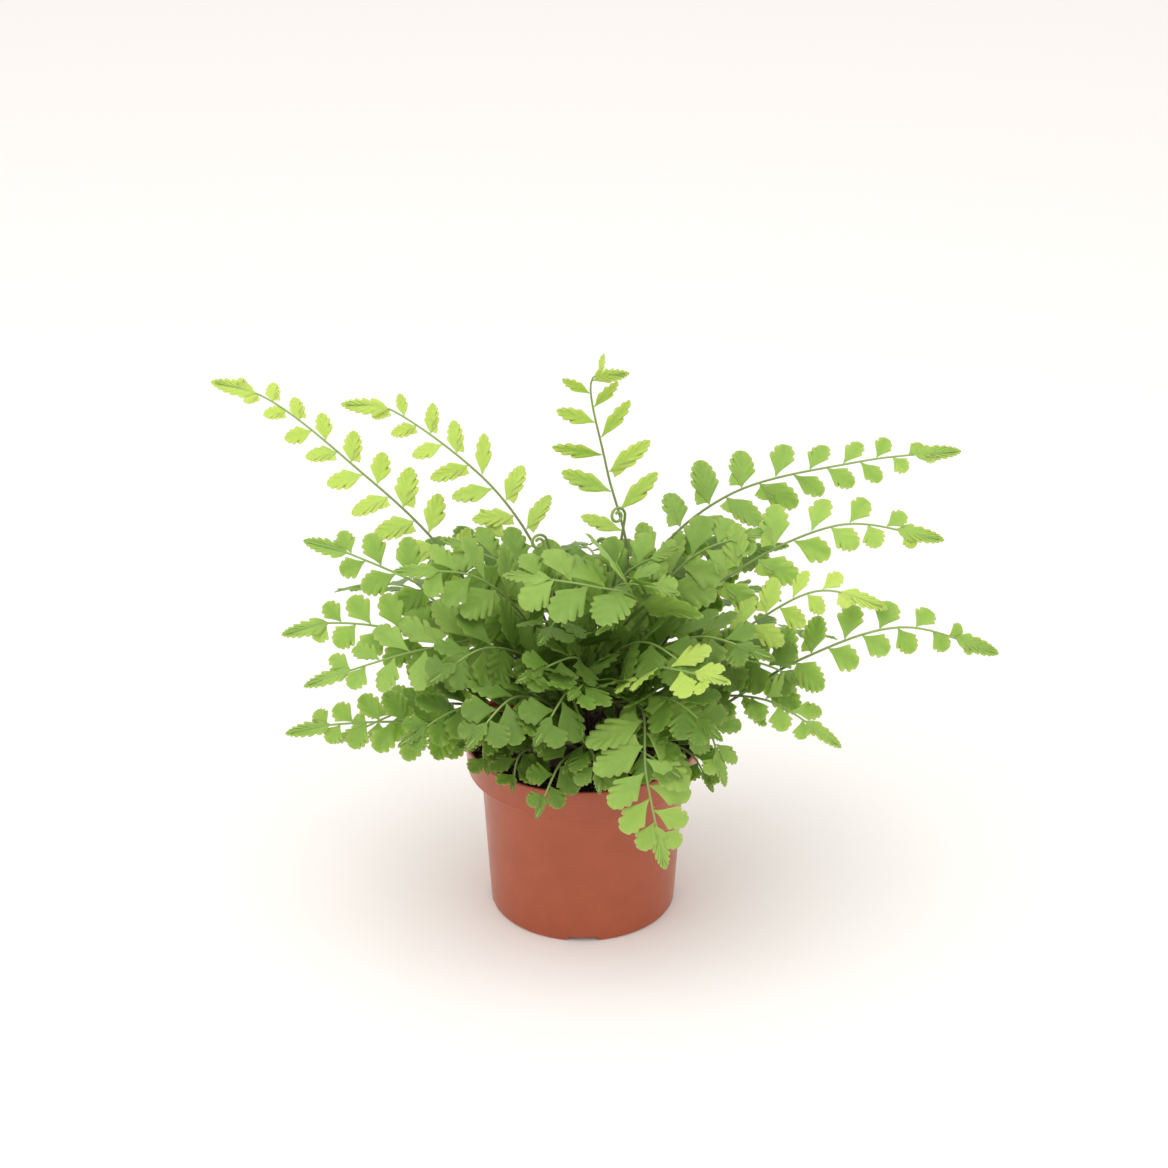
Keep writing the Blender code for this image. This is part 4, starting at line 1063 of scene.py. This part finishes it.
for number, frond in enumerate(FRONDS):
    grow_frond(frond, number)

# ------------------------------------------------------------------------------------------------
# Croziers
# Three young fronds are still coiled like a watch spring. They are soft and green, brown at the foot,
# with the buds of their leaflets as small swellings along the coil.
# ------------------------------------------------------------------------------------------------
Crozier = namedtuple("Crozier", "name exit ring route coil turn")

# Young fronds, still coiled. coil: the coil's outer radius. turn: compass angle that the coil faces.
COIL_TURNS = 1.4
COIL_SHRINK = 0.68  # share of its radius that the coil loses from its outside to its end
COIL_STEPS = 15
CROZIER_STALK_STEPS = 9
CROZIERS = (
    Crozier("crozier_left", 104, 9, ((-5, 14, 140), (-12, 16, 172), (-18, 16, 194)), 4.2, 200),
    Crozier("crozier_middle", 66, 6, ((8, 10, 140), (12, 22, 172), (13, 22, 188)), 3.4, 160),
    Crozier("crozier_right", 38, 9, ((11, 9, 140), (17, 22, 176), (21, 30, 200)), 4.6, 215),
)


def crozier_line(crozier):
    """Centre line of a coiled frond: its stalk, then a spiral that winds in on itself."""
    first = exit_point(crozier.exit, crozier.ring, Vector(crozier.route[0]))
    stalk = spline([first, *(Vector(p) for p in crozier.route)], CROZIER_STALK_STEPS)
    top, rise = stalk[-1], (stalk[-1] - stalk[-2]).normalized()
    angle = math.radians(crozier.turn)
    outward = Vector((math.cos(angle), math.sin(angle), 0))
    outward = (outward - rise * outward.dot(rise)).normalized()
    coil = []
    for i in range(1, COIL_STEPS + 1):
        turn = 2 * math.pi * COIL_TURNS * i / COIL_STEPS
        radius = crozier.coil * (1 - COIL_SHRINK * i / COIL_STEPS)
        across = crozier.coil - radius * math.cos(turn)
        coil.append(top + outward * across + rise * radius * math.sin(turn))
    return stalk + coil


crozier_tree, given, result = geometry_tree("crozier", (("Stem", "NodeSocketMaterial"),))
coil = swept_stalk(crozier_tree, given.outputs["Geometry"], given.outputs["Stem"], 12)
connect(crozier_tree, (coil, result.inputs["Geometry"]))

for crozier in CROZIERS:
    fine = spline(crozier_line(crozier), 150)
    mesh = bpy.data.meshes.new(crozier.name)
    mesh.from_pydata([p * MM for p in fine], [(i, i + 1) for i in range(len(fine) - 1)], [])
    thickness = mesh.attributes.new("thickness", "FLOAT", "POINT")
    rising = mesh.attributes.new("rise", "FLOAT", "POINT")
    for i in range(len(fine)):
        share = i / (len(fine) - 1)
        knobs = 0.14 * abs(math.sin(share * 70)) if share > 0.55 else 0.0
        thickness.data[i].value = (0.74 - 0.12 * share + knobs) * MM
        rising.data[i].value = 0.05 + share * 1.3
    made = added(f"coiled_{crozier.name}", mesh)
    add_tree(made, crozier_tree, Stem=stalk)
    applied(made)
    made.data.shade_smooth()
    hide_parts(crozier.name)
    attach(made, "root")

# ------------------------------------------------------------------------------------------------
# Soil
# Dark peat and bark crumbs, filled to just below the rim and a little uneven, with fine pale roots and
# fibres lying on it.
# ------------------------------------------------------------------------------------------------
SOIL_EDGE_Z = 86.0
SOIL_RADIUS = 56.8
SOIL_SKIRT_Z = 78.0
CRUMB_REACH = 0.0522


def soil_height(x, y):
    """Height of the soil's surface, in millimetres."""
    from_middle = math.hypot(x, y) / SOIL_RADIUS
    level_z = SOIL_TOP_Z + (SOIL_EDGE_Z - SOIL_TOP_Z) * max(0.0, from_middle - 0.5) * 2
    rough = noise.noise(Vector((x, y, 0)) * 0.12) * 1.6 + noise.noise(Vector((x, y, 7)) * 0.45) * 0.9
    return level_z + rough * min(1.0, max(0.0, (math.hypot(x, y) - 24) / 8)) - 0.4


soil_built = bmesh.new()
rings, spokes = 46, 120
soil_middle = soil_built.verts.new((0, 0, (SOIL_TOP_Z - 0.5) * MM))
previous = None
for i in range(1, rings + 1):
    radius = SOIL_RADIUS * i / rings
    row = []
    for j in range(spokes):
        angle = 2 * math.pi * j / spokes
        x, y = radius * math.cos(angle), radius * math.sin(angle)
        row.append(soil_built.verts.new(Vector((x, y, soil_height(x, y))) * MM))
    for j in range(spokes):
        k = (j + 1) % spokes
        if previous is None:
            soil_built.faces.new((soil_middle, row[j], row[k]))
        else:
            soil_built.faces.new((previous[j], row[j], row[k], previous[k]))
    previous = row
skirt = [soil_built.verts.new(Vector((v.co.x * 0.86, v.co.y * 0.86, SOIL_SKIRT_Z * MM))) for v in previous]
for j in range(spokes):
    k = (j + 1) % spokes
    soil_built.faces.new((previous[j], skirt[j], skirt[k], previous[k]))
soil_built.faces.new(skirt[::-1])
bmesh.ops.recalc_face_normals(soil_built, faces=soil_built.faces[:])
soil_mesh = bpy.data.meshes.new("potting_soil")
soil_built.to_mesh(soil_mesh)
soil_built.free()
soil = added("potting_soil", soil_mesh)

peat, peat_tree, peat_shader = shader_material("peat", Roughness=0.9, Specular_IOR_Level=0.25)
peat_colour = ramp(peat_tree, patterned(peat_tree, 380.0, 6.0, 0.7), (
    (0.30, (0.012, 0.007, 0.005)), (0.5, (0.045, 0.025, 0.015)), (0.68, (0.10, 0.058, 0.034)),
    (0.85, (0.19, 0.12, 0.075))))
peat_tree.links.new(peat_colour, peat_shader.inputs["Base Color"])
bumped(peat_tree, peat_shader, patterned(peat_tree, 900.0, 5.0, 0.7), 0.0008, 0.9)

crumbs = bpy.data.collections.new("crumb_templates")
crumb_rng = random.Random(11)
for i in range(4):
    built = bmesh.new()
    bmesh.ops.create_icosphere(built, subdivisions=1, radius=0.5)
    for vertex in built.verts:
        vertex.co *= crumb_rng.uniform(0.6, 1.25)
        vertex.co.x *= (1.0, 1.6, 1.1, 2.6)[i]
        vertex.co.z *= (0.9, 0.5, 0.8, 0.4)[i]
    mesh = bpy.data.meshes.new(f"crumb_{i}")
    built.to_mesh(mesh)
    built.free()
    crumbs.objects.link(bpy.data.objects.new(f"crumb_{i}", mesh))

scatter_tree, given, result = geometry_tree("crumb_scatter", (
    ("Crumbs", "NodeSocketCollection"), ("Density", "NodeSocketFloat"), ("Smallest", "NodeSocketFloat"),
    ("Largest", "NodeSocketFloat"), ("Reach", "NodeSocketFloat"), ("Finish", "NodeSocketMaterial"),
    ("Seed", "NodeSocketInt")))
spread = add_node(scatter_tree, "GeometryNodeDistributePointsOnFaces", distribute_method="RANDOM")
upward = add_node(scatter_tree, "ShaderNodeMath", operation="GREATER_THAN")
upward.inputs[1].default_value = 0.4
facing = scatter_tree.nodes.new("GeometryNodeInputNormal")
where = scatter_tree.nodes.new("GeometryNodeInputPosition")
flat = add_node(scatter_tree, "ShaderNodeVectorMath", operation="MULTIPLY")
flat.inputs[1].default_value = (1.0, 1.0, 0.0)
outward = add_node(scatter_tree, "ShaderNodeVectorMath", operation="LENGTH")
near = add_node(scatter_tree, "ShaderNodeMath", operation="LESS_THAN")
chosen = add_node(scatter_tree, "ShaderNodeMath", operation="MULTIPLY")
facing_split = scatter_tree.nodes.new("ShaderNodeSeparateXYZ")
placed = picked_shapes(scatter_tree, given.outputs["Crumbs"], spread.outputs["Points"])
spin = add_node(scatter_tree, "FunctionNodeRandomValue", data_type="FLOAT_VECTOR")
spin.inputs[1].default_value = (6.28, 6.28, 6.28)
grade = add_node(scatter_tree, "FunctionNodeRandomValue", data_type="FLOAT")
grade.inputs["Seed"].default_value = 5
real = scatter_tree.nodes.new("GeometryNodeRealizeInstances")
joined = scatter_tree.nodes.new("GeometryNodeJoinGeometry")
finish = scatter_tree.nodes.new("GeometryNodeSetMaterial")
connect(
    scatter_tree,
    (given.outputs["Geometry"], spread.inputs["Mesh"]),
    (facing.outputs["Normal"], facing_split.inputs[0]),
    (facing_split.outputs["Z"], upward.inputs[0]),
    (where.outputs["Position"], flat.inputs[0]),
    (flat.outputs["Vector"], outward.inputs[0]),
    (outward.outputs["Value"], near.inputs[0]),
    (given.outputs["Reach"], near.inputs[1]),
    (upward.outputs[0], chosen.inputs[0]),
    (near.outputs[0], chosen.inputs[1]),
    (chosen.outputs[0], spread.inputs["Selection"]),
    (given.outputs["Density"], spread.inputs["Density"]),
    (given.outputs["Seed"], spread.inputs["Seed"]),
    (spin.outputs[0], placed.inputs["Rotation"]),
    (given.outputs["Smallest"], grade.inputs[2]),
    (given.outputs["Largest"], grade.inputs[3]),
    (grade.outputs[1], placed.inputs["Scale"]),
    (placed.outputs["Instances"], real.inputs["Geometry"]),
    (real.outputs["Geometry"], joined.inputs["Geometry"]),
    (given.outputs["Geometry"], joined.inputs["Geometry"]),
    (joined.outputs["Geometry"], finish.inputs["Geometry"]),
    (given.outputs["Finish"], finish.inputs["Material"]),
    (finish.outputs["Geometry"], result.inputs["Geometry"]),
)
add_tree(soil, scatter_tree, Crumbs=crumbs, Density=260000.0, Smallest=0.0008, Largest=0.0034,
         Reach=CRUMB_REACH, Finish=peat, Seed=3)
applied(soil)
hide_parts("soil")
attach(soil, "root")

fibre_rng = random.Random(23)
fibre_lines = bpy.data.curves.new("root_fibres", "CURVE")
fibre_lines.dimensions = "3D"
fibre_lines.bevel_depth = 0.22 * MM
fibre_lines.bevel_resolution = 1
for i in range(150):
    angle = fibre_rng.uniform(0, 2 * math.pi)
    radius = fibre_rng.uniform(34, 56)
    heading = fibre_rng.uniform(0, 2 * math.pi)
    x, y = radius * math.cos(angle), radius * math.sin(angle)
    route = []
    for step in range(9):
        if math.hypot(x, y) > 55.5:
            break
        lift = 0.8 + 1.4 * math.sin(step / 8 * math.pi) * fibre_rng.random()
        route.append(Vector((x, y, soil_height(x, y) + lift)) * MM)
        heading += fibre_rng.uniform(-0.7, 0.7)
        x += 2.2 * math.cos(heading)
        y += 2.2 * math.sin(heading)
    if len(route) < 4:
        continue
    strand = fibre_lines.splines.new("POLY")
    strand.points.add(len(route) - 1)
    for point, place in zip(strand.points, route):
        point.co = (*place, 1.0)
fibres = added("root_fibres", fibre_lines)
root_fibre, fibre_tree, fibre_shader = shader_material("root_fibre", Roughness=0.8)
fibre_colour = ramp(fibre_tree, patterned(fibre_tree, 120.0, 3.0), (
    (0.3, (0.10, 0.055, 0.03)), (0.7, (0.36, 0.24, 0.15))))
fibre_tree.links.new(fibre_colour, fibre_shader.inputs["Base Color"])
fibre_mesh = bpy.data.meshes.new_from_object(fibres)
bpy.data.objects.remove(fibres, do_unlink=True)
fibres = added("root_fibres", fibre_mesh)
fibre_mesh.materials.append(root_fibre)
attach(fibres, "root")

# ------------------------------------------------------------------------------------------------
# Rhizome
# The low mound in the middle that every stalk grows from: old stalk bases wrapped in narrow, papery
# dark brown scales.
# ------------------------------------------------------------------------------------------------
rhizome = added("rhizome_mound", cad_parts["rhizome"].data.copy())
bark, bark_tree, bark_shader = shader_material("rhizome_scale", Roughness=0.8)
bark_colour = ramp(bark_tree, patterned(bark_tree, 300.0, 5.0, 0.7), (
    (0.3, (0.018, 0.010, 0.006)), (0.55, (0.065, 0.035, 0.02)), (0.8, (0.16, 0.095, 0.05))))
bark_tree.links.new(bark_colour, bark_shader.inputs["Base Color"])
bumped(bark_tree, bark_shader, patterned(bark_tree, 700.0, 4.0), 0.0006, 0.8)
rhizome.data.materials.clear()
rhizome.data.materials.append(bark)
scale_templates = bpy.data.collections.new("scale_templates")
for i in range(2):
    built = bmesh.new()
    bmesh.ops.create_cone(built, segments=5, radius1=0.11, radius2=0.0, depth=1.0, cap_ends=True)
    for vertex in built.verts:
        vertex.co.z += 0.5
        vertex.co.y *= 0.4
        vertex.co.x += 0.16 * (i + 1) * vertex.co.z ** 2
    mesh = bpy.data.meshes.new(f"scale_{i}")
    built.to_mesh(mesh)
    built.free()
    scale_templates.objects.link(bpy.data.objects.new(f"scale_{i}", mesh))
add_tree(rhizome, scatter_tree, Crumbs=scale_templates, Density=420000.0, Smallest=0.002, Largest=0.006,
         Reach=1.0, Finish=bark, Seed=9)
applied(rhizome)
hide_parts("rhizome")
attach(rhizome, "root")

visual_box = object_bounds()
sizes = {"cad": [list(corner) for corner in cad_box], "visual": [list(corner) for corner in visual_box]}
